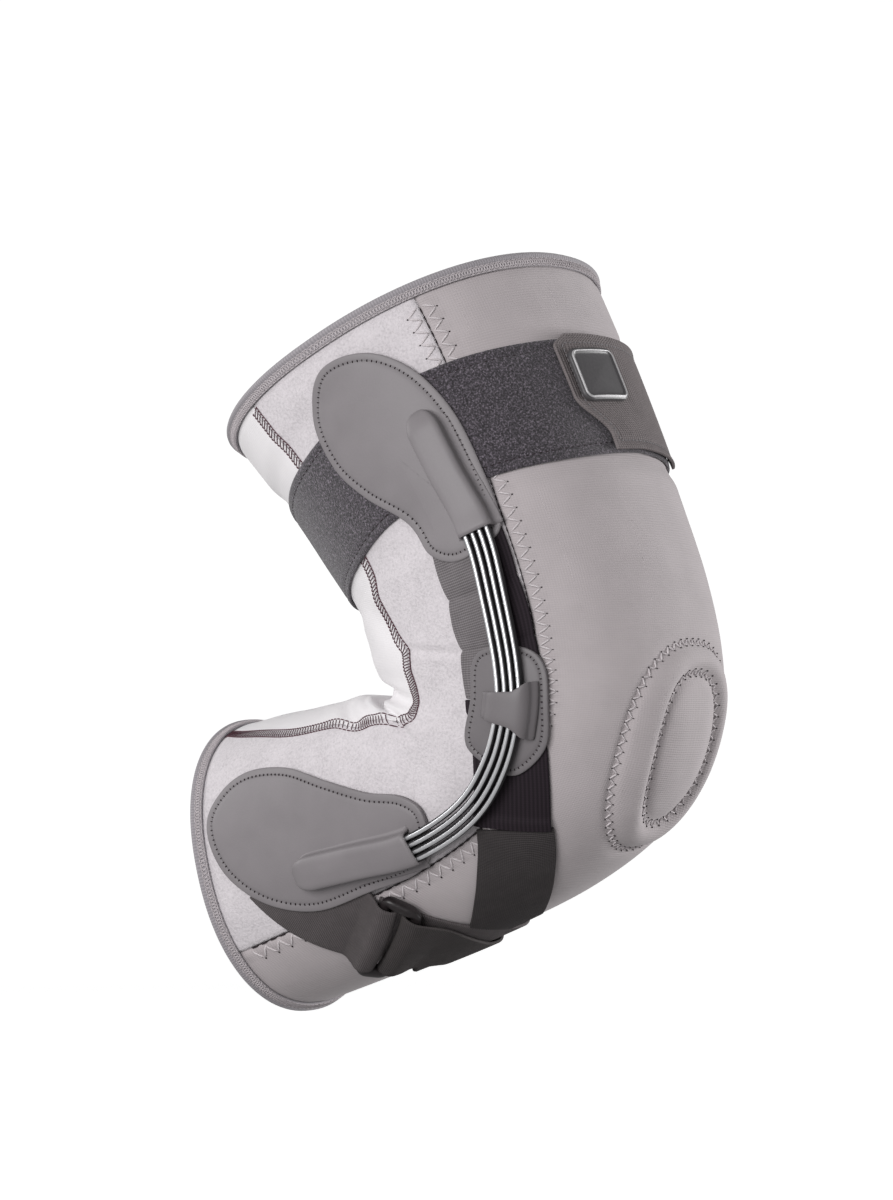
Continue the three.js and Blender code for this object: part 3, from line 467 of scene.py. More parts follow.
class Route:
    """A run of spots over the form, measured in metres, with a little more at both ends."""

    def __init__(self, along, angle):
        steps = np.linalg.norm(np.diff(form_points(along, angle), axis=0), axis=1)
        distances = np.concatenate([[0], np.cumsum(steps)])
        self.length = distances[-1]
        more = 10
        self.distances = self.lengthened(distances, more)
        self.along = self.lengthened(along, more)
        self.angle = self.lengthened(angle, more)

    @staticmethod
    def lengthened(values, more):
        """Values with one more at each end, in line with the last two."""
        first = values[0] - more * (values[1] - values[0])
        last = values[-1] + more * (values[-1] - values[-2])
        return np.concatenate([[first], values, [last]])

    def spots(self, distance):
        """Spots at distances along the route."""
        along = np.interp(distance, self.distances, self.along)
        return along, np.interp(distance, self.distances, self.angle)

    def beside(self, distance, across):
        """Spots at distances along the route and to its side."""
        step = 0.001
        along, angle = self.spots(distance)
        heading = form_points(*self.spots(distance + step)) - form_points(*self.spots(distance - step))
        sideways = unit(np.cross(heading, form_normals(along, angle)))
        return shift_spots(along, angle, sideways, across)

    def distance_at(self, degrees):
        """Distance where a route whose angle falls reaches an angle."""
        return float(np.interp(-math.radians(degrees), -self.angle, self.distances))


ROUTE_STEPS = np.linspace(0, 1, 200)


def side_route(points):
    """A route through points of the side view."""
    x, z = spline(points, ROUTE_STEPS).T
    return Route(*side_spots(x, z))


def form_route(rows):
    """A route through spots given along the sleeve and in degrees."""
    along, degrees = spline(rows, ROUTE_STEPS).T
    return Route(along, np.radians(degrees))


spring_route = side_route(SPRING_ROUTE)
upright_route = side_route(UPRIGHT_ROUTE)
elastic_route = side_route(ELASTIC_ROUTE)
calf_route = form_route(CALF_ROUTE)


# Mesh helpers


def lay_grid(mesh, columns, rows, place, size=(1.0, 1.0), weld=False, material=0):
    """Adds a grid whose corners lie where place(s, t) puts their shares, with a map of its size in metres."""
    made = bmesh.ops.create_grid(mesh, x_segments=columns, y_segments=rows, size=0.5)["verts"]
    shares = np.array([corner.co[:2] for corner in made]) + 0.5
    points = place(shares[:, 0], shares[:, 1])
    layer = mesh.loops.layers.uv.verify()
    flat = dict(zip(made, (shares * size).tolist()))
    faces = {face for corner in made for face in corner.link_faces}
    for face in faces:
        face.material_index = material
        face.smooth = True
        for loop in face.loops:
            loop[layer].uv = flat[loop.vert]
    for corner, point in zip(made, points.tolist()):
        corner.co = point
    if weld:
        bmesh.ops.remove_doubles(mesh, verts=made, dist=1e-7)


def face_outwards(mesh):
    """Turns the faces of closed shells outwards."""
    bmesh.ops.recalc_face_normals(mesh, faces=mesh.faces)


def close_ends(mesh):
    """Closes the open ends of tubes."""
    edges = [edge for edge in mesh.edges if edge.is_boundary]
    bmesh.ops.holes_fill(mesh, edges=edges, sides=0)


def add_piece(name, mesh, finishes, nodes=(), side="right"):
    """Makes a mesh a piece that stands for its nodes. The left side is the right one mirrored."""
    if side == "left":
        bmesh.ops.scale(mesh, vec=(1, -1, 1), verts=mesh.verts)
        bmesh.ops.reverse_faces(mesh, faces=mesh.faces)
    data = bpy.data.meshes.new(name)
    mesh.to_mesh(data)
    mesh.free()
    for finish in finishes:
        data.materials.append(finish)
    piece = bpy.data.objects.new(name, data)
    bpy.context.scene.collection.objects.link(piece)
    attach(piece, "root")
    if nodes:
        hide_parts(*nodes)
    return piece


def thicken(piece, thickness, offset=-1.0, inner_finish=0):
    """Gives a sheet its thickness, inwards where the offset is -1."""
    modifier = piece.modifiers.new("Thickness", "SOLIDIFY")
    modifier.thickness = thickness
    modifier.offset = offset
    modifier.material_offset = inner_finish


def soften(piece, width, segments=2):
    """Rounds the edges of a thickened sheet."""
    least_turn = 50
    modifier = piece.modifiers.new("Soft Edges", "BEVEL")
    modifier.width = width
    modifier.segments = segments
    modifier.limit_method = "ANGLE"
    modifier.angle_limit = math.radians(least_turn)


def ribbon(route, start, end, width, lift_at, columns, rows):
    """A band along a route. lift_at(distance, across) gives the height of its outer face and its spread."""
    mesh = bmesh.new()

    def place(s, t):
        distance = start + (end - start) * s
        across = (0.5 - t) * width
        height, spread = lift_at(distance, across)
        return lay(*route.beside(distance, across * spread), height)

    lay_grid(mesh, columns, rows, place, size=(end - start, width))
    return mesh


def stitches(mesh, path, count, radius, swing=0.0, gap=0.25, sink=1.2, material=0, zigzag=True):
    """Sews a run of stitches: path(share, across) gives points and normals.

    Swing makes it a zigzag, or a row of slanting stitches whose thread goes back beneath the cloth. Sink is
    how far both ends of a stitch go into the cloth, in radii of the thread.
    """
    samples = 5
    around = 5
    lift = 0.35
    taper = 0.8
    local = np.linspace(-1, 1, samples)
    number = np.repeat(np.arange(count), samples)
    x = np.tile(local, count)
    share = (number + 0.5 + 0.5 * (1 - gap) * x) / count
    across = np.where((number % 2 == 0) | (not zigzag), 1, -1) * x * swing / 2
    points, normals = path(share, across)
    heading = unit(np.gradient(points, axis=0))
    sideways = unit(np.cross(heading, normals))
    upwards = np.cross(sideways, heading)
    middle = points + normals * (radius * (lift - sink * x**6))[:, None]
    thick = radius * np.sqrt(1 - taper * x * x)
    total = len(share)

    def place(s, t):
        step = np.rint(s * (total - 1)).astype(int)
        turn = 2 * math.pi * t
        out = np.cos(turn)[:, None] * sideways[step] + np.sin(turn)[:, None] * upwards[step]
        return middle[step] + out * thick[step][:, None]

    lay_grid(mesh, total - 1, around, place, weld=True, material=material)


def needle_hole_shade(mesh, path, count, radius, gap, aside=0.0, shift=0.0):
    """Adds short dark dots where the needle went in, along a path and to its side: painted shade in the
    needle holes.
    """
    deep = 7

    def beside(share, across):
        return path(share + shift / count, across + aside)

    stitches(mesh, beside, count, radius, gap=gap, sink=deep, material=1)


def even_shares(points):
    """The length of a run of points, and shares of its points for shares of that length."""
    shares = np.linspace(0, 1, len(points))
    done = np.concatenate([[0], np.cumsum(np.linalg.norm(np.diff(points, axis=0), axis=1))])
    return lambda share: np.interp(share, done / done[-1], shares), done[-1]


# Finishes


def new_finish(name, roughness, **values):
    """A node material and its shader. Values that are the same all over are set on its own sockets."""
    material = bpy.data.materials.new(name)
    material.use_nodes = True
    shader = material.node_tree.nodes["Principled BSDF"]
    shader.inputs["Roughness"].default_value = roughness
    for socket, value in values.items():
        shader.inputs[socket.replace("_", " ")].default_value = value
    return material, shader


def add_node(material, kind, settings=None, **values):
    """A node with its settings and the values of its sockets."""
    node = material.node_tree.nodes.new(kind)
    for name, value in (settings or {}).items():
        setattr(node, name, value)
    for socket, value in values.items():
        node.inputs[socket.replace("_", " ")].default_value = value
    return node


def link(material, source, target):
    """Joins two sockets."""
    material.node_tree.links.new(source, target)


def coordinates(material, kind):
    """Coordinates of the piece itself, UV for its own map or Object for its place."""
    return add_node(material, "ShaderNodeTexCoord").outputs[kind]


def grain(material, size, detail=2.0, kind="Object", stretch=(1, 1, 1)):
    """A random grain of a size in metres, stretched by a factor each way."""
    mapping = add_node(material, "ShaderNodeMapping", Scale=stretch)
    link(material, coordinates(material, kind), mapping.inputs["Vector"])
    noise = add_node(material, "ShaderNodeTexNoise", Scale=1 / size, Detail=detail, Roughness=0.6)
    link(material, mapping.outputs["Vector"], noise.inputs["Vector"])
    return noise.outputs["Fac"]


def ribs(material, pitch, direction, distortion=0.0):
    """Ribs of a pitch in metres, across the map's direction X or Y."""
    wave_period = math.pi / 10
    wave = add_node(
        material,
        "ShaderNodeTexWave",
        {"bands_direction": direction},
        Scale=wave_period / pitch,
        Distortion=distortion,
        Detail=0.0,
    )
    link(material, coordinates(material, "UV"), wave.inputs["Vector"])
    return wave.outputs["Fac"]


def mixed(material, first, second, share):
    """A blend of two factors."""
    mix = add_node(material, "ShaderNodeMix", {"data_type": "FLOAT"})
    mix.inputs[0].default_value = share
    link(material, first, mix.inputs[2])
    link(material, second, mix.inputs[3])
    return mix.outputs[0]


def tint(material, shader, factor, base, shades, low=0.3, high=0.7):
    """Colours a finish by a factor, through shades of its base colour."""
    ramp = add_node(material, "ShaderNodeValToRGB")
    elements = ramp.color_ramp.elements
    while len(elements) < len(shades):
        elements.new(0.5)
    for number, shade in enumerate(shades):
        elements[number].position = low + (high - low) * number / (len(shades) - 1)
        elements[number].color = (*(min(channel * shade, 1.0) for channel in base), 1.0)
    link(material, factor, ramp.inputs["Fac"])
    link(material, ramp.outputs["Color"], shader.inputs["Base Color"])


def emboss(material, shader, factor, depth):
    """Raises a finish by a factor, to a depth in metres."""
    bump = add_node(material, "ShaderNodeBump", Strength=1.0, Distance=depth)
    link(material, factor, bump.inputs["Height"])
    link(material, bump.outputs["Normal"], shader.inputs["Normal"])


def gloss(material, shader, factor, low, high):
    """Varies roughness by a factor."""
    spread = add_node(material, "ShaderNodeMapRange", To_Min=low, To_Max=high)
    link(material, factor, spread.inputs["Value"])
    link(material, spread.outputs["Result"], shader.inputs["Roughness"])


def puckers(material):
    """Small swellings between the stitches beside the two long edges of a sleeve panel."""
    split = add_node(material, "ShaderNodeSeparateXYZ")
    link(material, coordinates(material, "UV"), split.inputs["Vector"])
    middle = add_node(material, "ShaderNodeMath", {"operation": "SUBTRACT"})
    link(material, split.outputs["X"], middle.inputs[0])
    middle.inputs[1].default_value = PANEL_MAP_WIDTH / 2
    aside = add_node(material, "ShaderNodeMath", {"operation": "ABSOLUTE"})
    link(material, middle.outputs[0], aside.inputs[0])
    beside_seam = add_node(
        material,
        "ShaderNodeMapRange",
        From_Min=PANEL_MAP_WIDTH / 2 - PUCKER_REACH,
        From_Max=PANEL_MAP_WIDTH / 2 - PUCKER_REACH / 2,
    )
    link(material, aside.outputs[0], beside_seam.inputs["Value"])
    swelling = add_node(material, "ShaderNodeMath", {"operation": "MULTIPLY"})
    link(material, ribs(material, TOOTH_PITCH, "Y"), swelling.inputs[0])
    link(material, beside_seam.outputs["Result"], swelling.inputs[1])
    return swelling.outputs[0]


def knit_finish():
    """Smooth fine knit with ribs round the sleeve."""
    material, shader = new_finish("grey_knit", 0.85, Sheen_Weight=0.15, Sheen_Roughness=0.5)
    fine = mixed(material, ribs(material, 0.0008, "Y", 0.6), ribs(material, 0.0010, "X"), 0.3)
    patches = grain(material, 0.02, 3.0)
    tint(material, shader, mixed(material, fine, patches, 0.7), colours().knit, (0.92, 1.0, 1.06))
    cloth = mixed(material, fine, grain(material, 0.0008), 0.4)
    emboss(material, shader, mixed(material, cloth, puckers(material), 0.75), 0.0006)
    return material


def loop_finish():
    """Brushed loop cloth with a fuzzy grain."""
    material, shader = new_finish("loop_cloth", 0.95, Sheen_Weight=0.35, Sheen_Roughness=0.6)
    fuzz = grain(material, 0.0010, 4.0)
    patches = grain(material, 0.012, 2.0)
    tint(material, shader, mixed(material, fuzz, patches, 0.25), colours().loop_cloth, (0.78, 1.0, 1.14))
    emboss(material, shader, mixed(material, fuzz, puckers(material), 0.4), 0.0009)
    return material


def smooth_cloth_finish():
    """Plain smooth cloth of the back."""
    material, shader = new_finish("white_cloth", 0.88, Sheen_Weight=0.2)
    weave = mixed(material, ribs(material, 0.0009, "Y"), ribs(material, 0.0009, "X"), 0.5)
    shade = mixed(material, weave, grain(material, 0.015), 0.6)
    tint(material, shader, shade, colours().white_cloth, (0.95, 1.0, 1.03))
    emboss(material, shader, weave, 0.00006)
    return material


def lining_finish():
    """Soft lining inside the sleeve."""
    material, shader = new_finish("lining", 0.95, Sheen_Weight=0.3)
    fuzz = grain(material, 0.0016, 3.0)
    tint(material, shader, fuzz, colours().lining, (0.85, 1.0, 1.1))
    emboss(material, shader, fuzz, 0.0003)
    return material


def tape_finish():
    """Ribbed rim tape."""
    material, shader = new_finish("binding_tape", 0.8, Sheen_Weight=0.2)
    rib = mixed(material, ribs(material, 0.0011, "X", 0.5), grain(material, 0.0007), 0.4)
    tint(material, shader, rib, colours().tape, (0.85, 1.0, 1.1))
    emboss(material, shader, rib, 0.00015)
    return material


def velour_finish():
    """Dark velour with pale fibres in its pile."""
    material, shader = new_finish("velour", 0.95, Sheen_Weight=0.3)
    pile = grain(material, 0.0007, 5.0)
    tint(material, shader, pile, colours().velour, (0.15, 0.5, 1.15, 3.4), 0.33, 0.67)
    emboss(material, shader, pile, 0.0007)
    return material


def webbing_finish(name, base, pitch=0.0010):
    """Flat webbing with fine ribs across it."""
    material, shader = new_finish(name, 0.85, Specular_IOR_Level=0.25)
    rib = mixed(material, ribs(material, pitch, "X", 0.3), ribs(material, 0.7 * pitch, "Y"), 0.35)
    tint(material, shader, mixed(material, rib, grain(material, 0.006, 3.0), 0.4), base, (0.72, 1.0, 1.28))
    emboss(material, shader, rib, 0.00025)
    return material


def elastic_finish():
    """Ribbed elastic, its ribs along its length."""
    material, shader = new_finish("elastic", 0.8, Specular_IOR_Level=0.2)
    rib = mixed(material, ribs(material, 0.0016, "Y"), ribs(material, 0.0009, "X"), 0.3)
    tint(material, shader, rib, colours().elastic, (0.75, 1.0, 1.4))
    emboss(material, shader, rib, 0.0001)
    return material


def leatherette_finish(name, base):
    """Satin leatherette with a fine grain."""
    material, shader = new_finish(name, 0.5, Specular_IOR_Level=0.4)
    pores = grain(material, 0.0007, 3.0)
    clouds = grain(material, 0.018, 2.0)
    tint(material, shader, mixed(material, clouds, pores, 0.25), base, (0.93, 1.0, 1.06))
    emboss(material, shader, pores, 0.00005)
    gloss(material, shader, clouds, 0.42, 0.58)
    return material


def steel_finish():
    """Polished spring steel, drawn along its length."""
    material, shader = new_finish("spring_steel", 0.35, Metallic=0.75)
    streaks = grain(material, 0.0004, 2.0, "UV", (0.01, 1, 1))
    tint(material, shader, streaks, colours().steel, (0.9, 1.0, 1.1))
    gloss(material, shader, streaks, 0.28, 0.42)
    return material


def badge_finish(name, base, metallic, roughness):
    """Moulded badge, its rim like metal and its face dark."""
    material, shader = new_finish(name, roughness, Metallic=metallic)
    speckle = grain(material, 0.0009, 2.0)
    tint(material, shader, speckle, base, (0.9, 1.0, 1.1))
    emboss(material, shader, speckle, 0.00002)
    return material


def plastic_finish():
    """Moulded black plastic."""
    material, shader = new_finish("black_plastic", 0.4)
    speckle = grain(material, 0.0012, 2.0)
    tint(material, shader, speckle, colours().plastic, (0.85, 1.0, 1.2))
    emboss(material, shader, speckle, 0.00004)
    gloss(material, shader, speckle, 0.33, 0.48)
    return material


def thread_finish(name, base):
    """A dull finish with fine fibres, for thread and for the painted shade on the flanks of the springs."""
    material, shader = new_finish(name, 0.75, Specular_IOR_Level=0.3)
    fibres = grain(material, 0.0003, 2.0)
    tint(material, shader, fibres, base, (0.8, 1.0, 1.2))
    emboss(material, shader, fibres, 0.00005)
    return material


finishes = {}


def make_finishes():
    """Makes every finish once."""
    shade = colours()
    finishes.update(
        knit=knit_finish(),
        loop=loop_finish(),
        white=smooth_cloth_finish(),
        lining=lining_finish(),
        tape=tape_finish(),
        velour=velour_finish(),
        webbing=webbing_finish("webbing", shade.webbing),
        tab=webbing_finish("tab_webbing", shade.tab, 0.0012),
        # Painted shade: the webbing, far darker.
        lower=webbing_finish("lower_webbing", shade.lower_webbing),
        calf=webbing_finish("calf_webbing", shade.calf_webbing, 0.0006),
        calf_under=webbing_finish("calf_under_layer", shade.calf_under, 0.0006),
        elastic=elastic_finish(),
        leather=leatherette_finish("leatherette", shade.leatherette),
        # Painted shade: the pads' leatherette, darker.
        keeper=leatherette_finish("shaded_keeper_leatherette", shade.keeper),
        steel=steel_finish(),
        # Painted shade on the flanks of the spring leaves.
        flank=thread_finish("spring_flank_shade", shade.flank),
        badge_rim=badge_finish("badge_rim", shade.badge_rim, 0.3, 0.5),
        badge_face=badge_finish("badge_face", shade.badge_face, 0.0, 0.45),
        plastic=plastic_finish(),
        pale_thread=thread_finish("pale_thread", shade.pale_thread),
        seam_thread=thread_finish("seam_thread", shade.seam_thread),
        grey_thread=thread_finish("grey_thread", shade.grey_thread),
        plum_thread=thread_finish("plum_thread", shade.plum_thread),
        dark_thread=thread_finish("dark_thread", shade.dark_thread),
    )


# Sleeve

# How far the panels stop short of the rims, their fineness and map, and the metres that a degree spans.
PANEL_INSET = 0.0022
PANEL_ROWS = 200
PANEL_MAP_WIDTH = 0.13
MEAN_LENGTH = 0.31
DEGREE_SPAN = 0.00105

# Dips along the seams, the pitch of the zigzags, the swellings beside them and the hold of the rim tapes.
SEAM_SHAPES = dict(front=dict(depth=0.0007, width=0.0010), back=dict(depth=0.0004, width=0.0020))
TOOTH_PITCH = 0.0046
PUCKER_REACH = 0.0075
RIM_SQUEEZE = 0.0007


def seam_angle(column, along):
    """Angle of a seam on the right side."""
    place, degrees = spline(SEAMS[column], ROUTE_STEPS).T
    return np.radians(np.interp(along, place, degrees))


def panel_along(angle, share):
    """Place along the sleeve of a share of a panel's length."""
    start = rim_share(0.0, angle, PANEL_INSET)
    end = rim_share(1.0, angle, PANEL_INSET)
    return start + (1 - start - end) * share


def seam_route(column):
    """The route of a seam from the thigh rim to the calf rim."""
    angle = seam_angle(column, ROUTE_STEPS)
    return Route(panel_along(angle, ROUTE_STEPS), angle)


def crease_height(along, angle):
    """Depth of the narrow creases, with a soft ridge beside each."""
    ridge_share, ridge_at, ridge_width = 0.45, 2, 1.2
    least = 0.02
    here = np.stack([along * MEAN_LENGTH, half_turn_degrees(angle) * DEGREE_SPAN], axis=1)
    height = np.zeros_like(along)
    for crease in CREASES:
        start, end = (np.array(crease[name]) * (MEAN_LENGTH, DEGREE_SPAN) for name in ("start", "end"))
        run = end - start
        share = np.clip((here - start) @ run / (run @ run), 0, 1)
        off = np.linalg.norm(here - start - share[:, None] * run, axis=1) / crease["width"]
        fade = np.sin(math.pi * np.clip(share, least, 1 - least)) ** 0.5
        profile = ridge_share * bell(off, ridge_at, ridge_width) - bell(off, 0, 1)
        height += crease["depth"] * fade * profile
    return height


def quilt_height(along, angle):
    """Dips along both sewn ovals round the kneecap, and the dome inside them."""
    inner_width, outer_width, dome_reach = 0.12, 0.06, 0.7
    degrees = half_turn_degrees(angle)
    inner = oval(KNEECAP_INNER, along, degrees)
    outer = oval(KNEECAP_OUTER, along, degrees)
    dips = bell(inner, 1, inner_width) + bell(outer, 1, outer_width)
    return KNEECAP_DOME * smooth_step(1 - inner, 0, dome_reach) - QUILT_DIP * dips


def cloth_height(along, angle):
    """Height of the sleeve's creases and quilting, its swelling beside the strap and its squeezed rims."""
    tight_reach, tight_ease = 0.003, 0.02
    flat_degrees, swollen_degrees = 72, 60
    free_inset, squeezed_inset = 0.009, 0.005
    swelling = strap_press(along, angle, PRESS_REACH, PRESS_EASE)
    swelling -= strap_press(along, angle, tight_reach, tight_ease)
    swelling *= smooth_step(half_turn_degrees(angle), flat_degrees, swollen_degrees)
    from_thigh = along / rim_share(0.0, angle, 1.0)
    from_calf = (1 - along) / rim_share(1.0, angle, 1.0)
    from_rim = np.minimum(from_thigh, from_calf)
    squeeze = RIM_SQUEEZE * smooth_step(from_rim, free_inset, squeezed_inset)
    return crease_height(along, angle) + quilt_height(along, angle) + swelling - squeeze


def seam_path(column, start, end, offset=0.0, height=0.0):
    """A path for stitches beside a seam, between two shares of a panel's length, along the creased cloth."""
    route = seam_route(column)

    def path(share, across):
        distance = np.interp(start + (end - start) * share, ROUTE_STEPS, route.distances[1:-1])
        along, angle = route.beside(distance, offset + across)
        return lay(along, angle, cloth_height(along, angle) + height), form_normals(along, angle)

    return path


def sleeve_panel(columns, edges, seams):
    """A panel between two edges, each an angle for a share of the length, dipping where it is sewn."""
    mesh = bmesh.new()

    def place(s, t):
        first, second = (edge(t) for edge in edges)
        angle = first + (second - first) * s
        along = panel_along(angle, t)
        height = cloth_height(along, angle)
        for share, seam in zip((s, 1 - s), seams):
            from_edge = share * np.degrees(second - first) * DEGREE_SPAN
            shape = SEAM_SHAPES[seam]
            height -= shape["depth"] * bell(from_edge, 0, shape["width"])
        return lay(along, angle, height)

    lay_grid(mesh, columns, PANEL_ROWS, place, size=(PANEL_MAP_WIDTH, MEAN_LENGTH))
    return mesh


class KNEEBRACE_OT_sleeve(Operator):
    """Sews the front, side and back panels of the sleeve"""

    bl_idname = "knee_brace.sleeve"
    bl_label = "Sleeve"

    def execute(self, context):
        wall = sizes().sleeve_wall

        def front_edge(t):
            return seam_angle("front", t)

        def back_edge(t):
            return seam_angle("back", t)

        def far_front_edge(t):
            return -front_edge(t)

        def far_back_edge(t):
            return 2 * math.pi - back_edge(t)

        front = sleeve_panel(120, (far_front_edge, front_edge), ("front", "front"))
        back = sleeve_panel(80, (back_edge, far_back_edge), ("back", "back"))
        front_looks = [finishes["knit"], finishes["lining"]]
        back_looks = [finishes["white"], finishes["lining"]]
        pieces = [
            add_piece("sleeve_front", front, front_looks, ["front_panel"]),
            add_piece("sleeve_back", back, back_looks, ["back_panel"]),
        ]
        for side in SIDES:
            flank = sleeve_panel(70, (front_edge, back_edge), ("front", "back"))
            looks = [finishes["loop"], finishes["lining"]]
            node = f"side_panel_{side}"
            pieces.append(add_piece(f"sleeve_side_{side}", flank, looks, [node], side))
        for piece in pieces:
            thicken(piece, wall, inner_finish=1)
        return {"FINISHED"}


class KNEEBRACE_OT_bindings(Operator):
    """Folds tape over both rims and sews it down"""

    bl_idname = "knee_brace.bindings"
    bl_label = "Rim Bindings"

    def execute(self, context):
        width = sizes().binding_width
        thread = sizes().thread * 1.2
        pitch, swing, rail = 0.0024, 0.0026, 0.0013

        # The tape from its outer edge round the rim to its inner edge, as distance from the rim and height.
        section = [
            (width, 0.0004), (0.0054, 0.0008), (0.0043, 0.0010), (0.0036, 0.0012), (0.0029, 0.0017),
            (0.0021, 0.0020), (0.0012, 0.0016), (0.0003, 0.0003), (0.0, -0.0015), (0.0003, -0.0032),
            (0.0012, -0.0043), (0.003, -0.0045), (0.0048, -0.0044), (width, -0.0042),
        ]
        for end, name, around in ((0.0, "thigh_binding", 0.46), (1.0, "calf_binding", 0.36)):
            mesh = bmesh.new()

            def place(s, t, end=end):
                angle = 2 * math.pi * (s if end else 1 - s)
                across, height = spline(section, t).T
                share = rim_share(end, angle, across)
                return lay(np.abs(end - share), angle, height)

            lay_grid(mesh, 200, 33, place, size=(around, 0.019), weld=True)
            tape = add_piece(f"{name}_tape", mesh, [finishes["tape"]], [name])
            thicken(tape, sizes().binding_thick)

            def path(share, across, end=end):
                sewn_at = 0.0048
                angle = 2 * math.pi * share
                from_rim = sewn_at + across
                along = np.abs(end - rim_share(end, angle, from_rim))
                height = np.interp(from_rim, (0.0036, 0.0054, 0.0064), (0.0013, 0.0009, 0.0005))
                return lay(along, angle, height), form_normals(along, angle)

            sewing = bmesh.new()
            count = 2 * int(around / pitch)
            for slant in (swing, -swing):
                stitches(sewing, path, count, thread, swing=slant, gap=0.0, sink=0.6)
            for offset in (-rail, rail):

                def line(share, across, offset=offset):
                    return path(share, across + offset)

                stitches(sewing, line, count // 2, thread, gap=0.05)
            face_outwards(sewing)
            add_piece(f"{name}_stitches", sewing, [finishes["pale_thread"]])
        return {"FINISHED"}


class KNEEBRACE_OT_seams(Operator):
    """Sews the seams of the sleeve and the quilting round the kneecap"""

    bl_idname = "knee_brace.seams"
    bl_label = "Sleeve Seams"

    def execute(self, context):
        thread = sizes().thread
        # The zigzags take the lighter seam thread, a painted highlight.
        looks = [finishes["seam_thread"], finishes["dark_thread"]]
        for side in SIDES:
            ladder = self.back_seam(thread)
            add_piece(f"back_seam_{side}", ladder, [finishes["plum_thread"]], side=side)
            joint = self.front_seam(thread)
            add_piece(f"front_seam_{side}", joint, looks, side=side)
        add_piece("kneecap_quilting", self.quilting(thread), looks)
        return {"FINISHED"}

    def back_seam(self, thread):
        """Slanting stitches between two lines of thread."""
        mesh = bmesh.new()
        start, end, lift = 0.02, 0.98, 0.0001
        pitch, slant, rail = 0.0017, 0.0058, 0.0021
        rungs = int((end - start) * MEAN_LENGTH / pitch)
        middle = seam_path("back", start, end, height=lift)
        stitches(mesh, middle, rungs, thread * 0.85, slant, gap=-0.6, sink=8, zigzag=False)
        for offset in (-rail, rail):
            line = seam_path("back", start, end, offset, lift)
            stitches(mesh, line, rungs, thread * 1.2, gap=0.06)
        face_outwards(mesh)
        return mesh

    def front_seam(self, thread):
        """A dark joint line, with a pale zigzag on its knit side and one beside its upper run."""
        mesh = bmesh.new()
        start, turn, end = 0.022, 0.68, 0.98
        lines = (
            dict(first=start, last=turn, height=-0.0005, pitch=0.0028, thick=1.0, gap=0.1),
            dict(first=turn, last=end, height=-0.0003, pitch=0.0031, thick=1.5, gap=0.2),
        )
        for line in lines:
            path = seam_path("front", line["first"], line["last"], height=line["height"])
            dashes = int((line["last"] - line["first"]) * MEAN_LENGTH / line["pitch"])
            stitches(mesh, path, dashes, thread * line["thick"], gap=line["gap"], material=1)
        aside, lift, swing = 0.0035, 0.0001, 0.0048
        hole_radius, hole_gap, hole_share = 0.00035, 0.85, 0.54
        for offset, last in ((-aside, end), (aside, turn)):
            count = 2 * int((last - start) * MEAN_LENGTH / TOOTH_PITCH)
            zigzag = seam_path("front", start, last, offset, lift)
            slant = math.copysign(swing, offset)
            stitches(mesh, zigzag, count, thread * 2, swing=slant, gap=0.02)
            needle_hole_shade(mesh, zigzag, count // 2, hole_radius, hole_gap, slant * hole_share)
        face_outwards(mesh)
        return mesh

    def quilting(self, thread):
        """Zigzags along both ovals round the kneecap, with painted shade in their needle holes."""
        mesh = bmesh.new()
        pitch, swing, lift = 0.0044, 0.0026, 0.0002
        hole_radius, hole_gap, hole_aside = 0.0003, 0.86, 0.0014
        turn = 2 * math.pi * ROUTE_STEPS
        for half_along, half_degrees in (KNEECAP_INNER, KNEECAP_OUTER):
            along = KNEECAP_ALONG + half_along * np.cos(turn)
            oval_route = Route(along, np.radians(half_degrees * np.sin(turn)))

            def path(share, across, oval_route=oval_route):
                spots = oval_route.beside(share * oval_route.length, across)
                return lay(*spots, cloth_height(*spots) + lift), form_normals(*spots)

            teeth = int(oval_route.length / pitch)
            stitches(mesh, path, 2 * teeth, thread * 1.8, swing=swing, gap=0.02)
            for aside, shift in ((hole_aside, 0), (-hole_aside, 0.5)):
                needle_hole_shade(mesh, path, teeth, hole_radius, hole_gap, aside, shift)
        face_outwards(mesh)
        return mesh


# Thigh strap

# Sides of the tab in degrees, and the middle of the badge as place along the sleeve and degrees.
TAB_FAR_DEGREES = -34
TAB_NEAR_DEGREES = 23.3
TAB_CORNER_DEGREES = 13.3
BADGE_SPOT = (0.132, 10.5)


def tab_spots(s, t):
    """Spots of the tab: its near edge steps in towards its lower corner, and its upper corner is round."""
    step_start, step_end = 0.52, 0.88
    corner_share, corner_degrees = 0.12, 5
    upwards = 0.002
    near = TAB_NEAR_DEGREES + (TAB_CORNER_DEGREES - TAB_NEAR_DEGREES) * smooth_step(t, step_start, step_end)
    near = near - corner_degrees * smooth_step(corner_share - t, 0, corner_share) ** 2
    angle = np.radians(TAB_FAR_DEGREES + (near - TAB_FAR_DEGREES) * s)
    return strap_along(angle, t) - upwards, angle


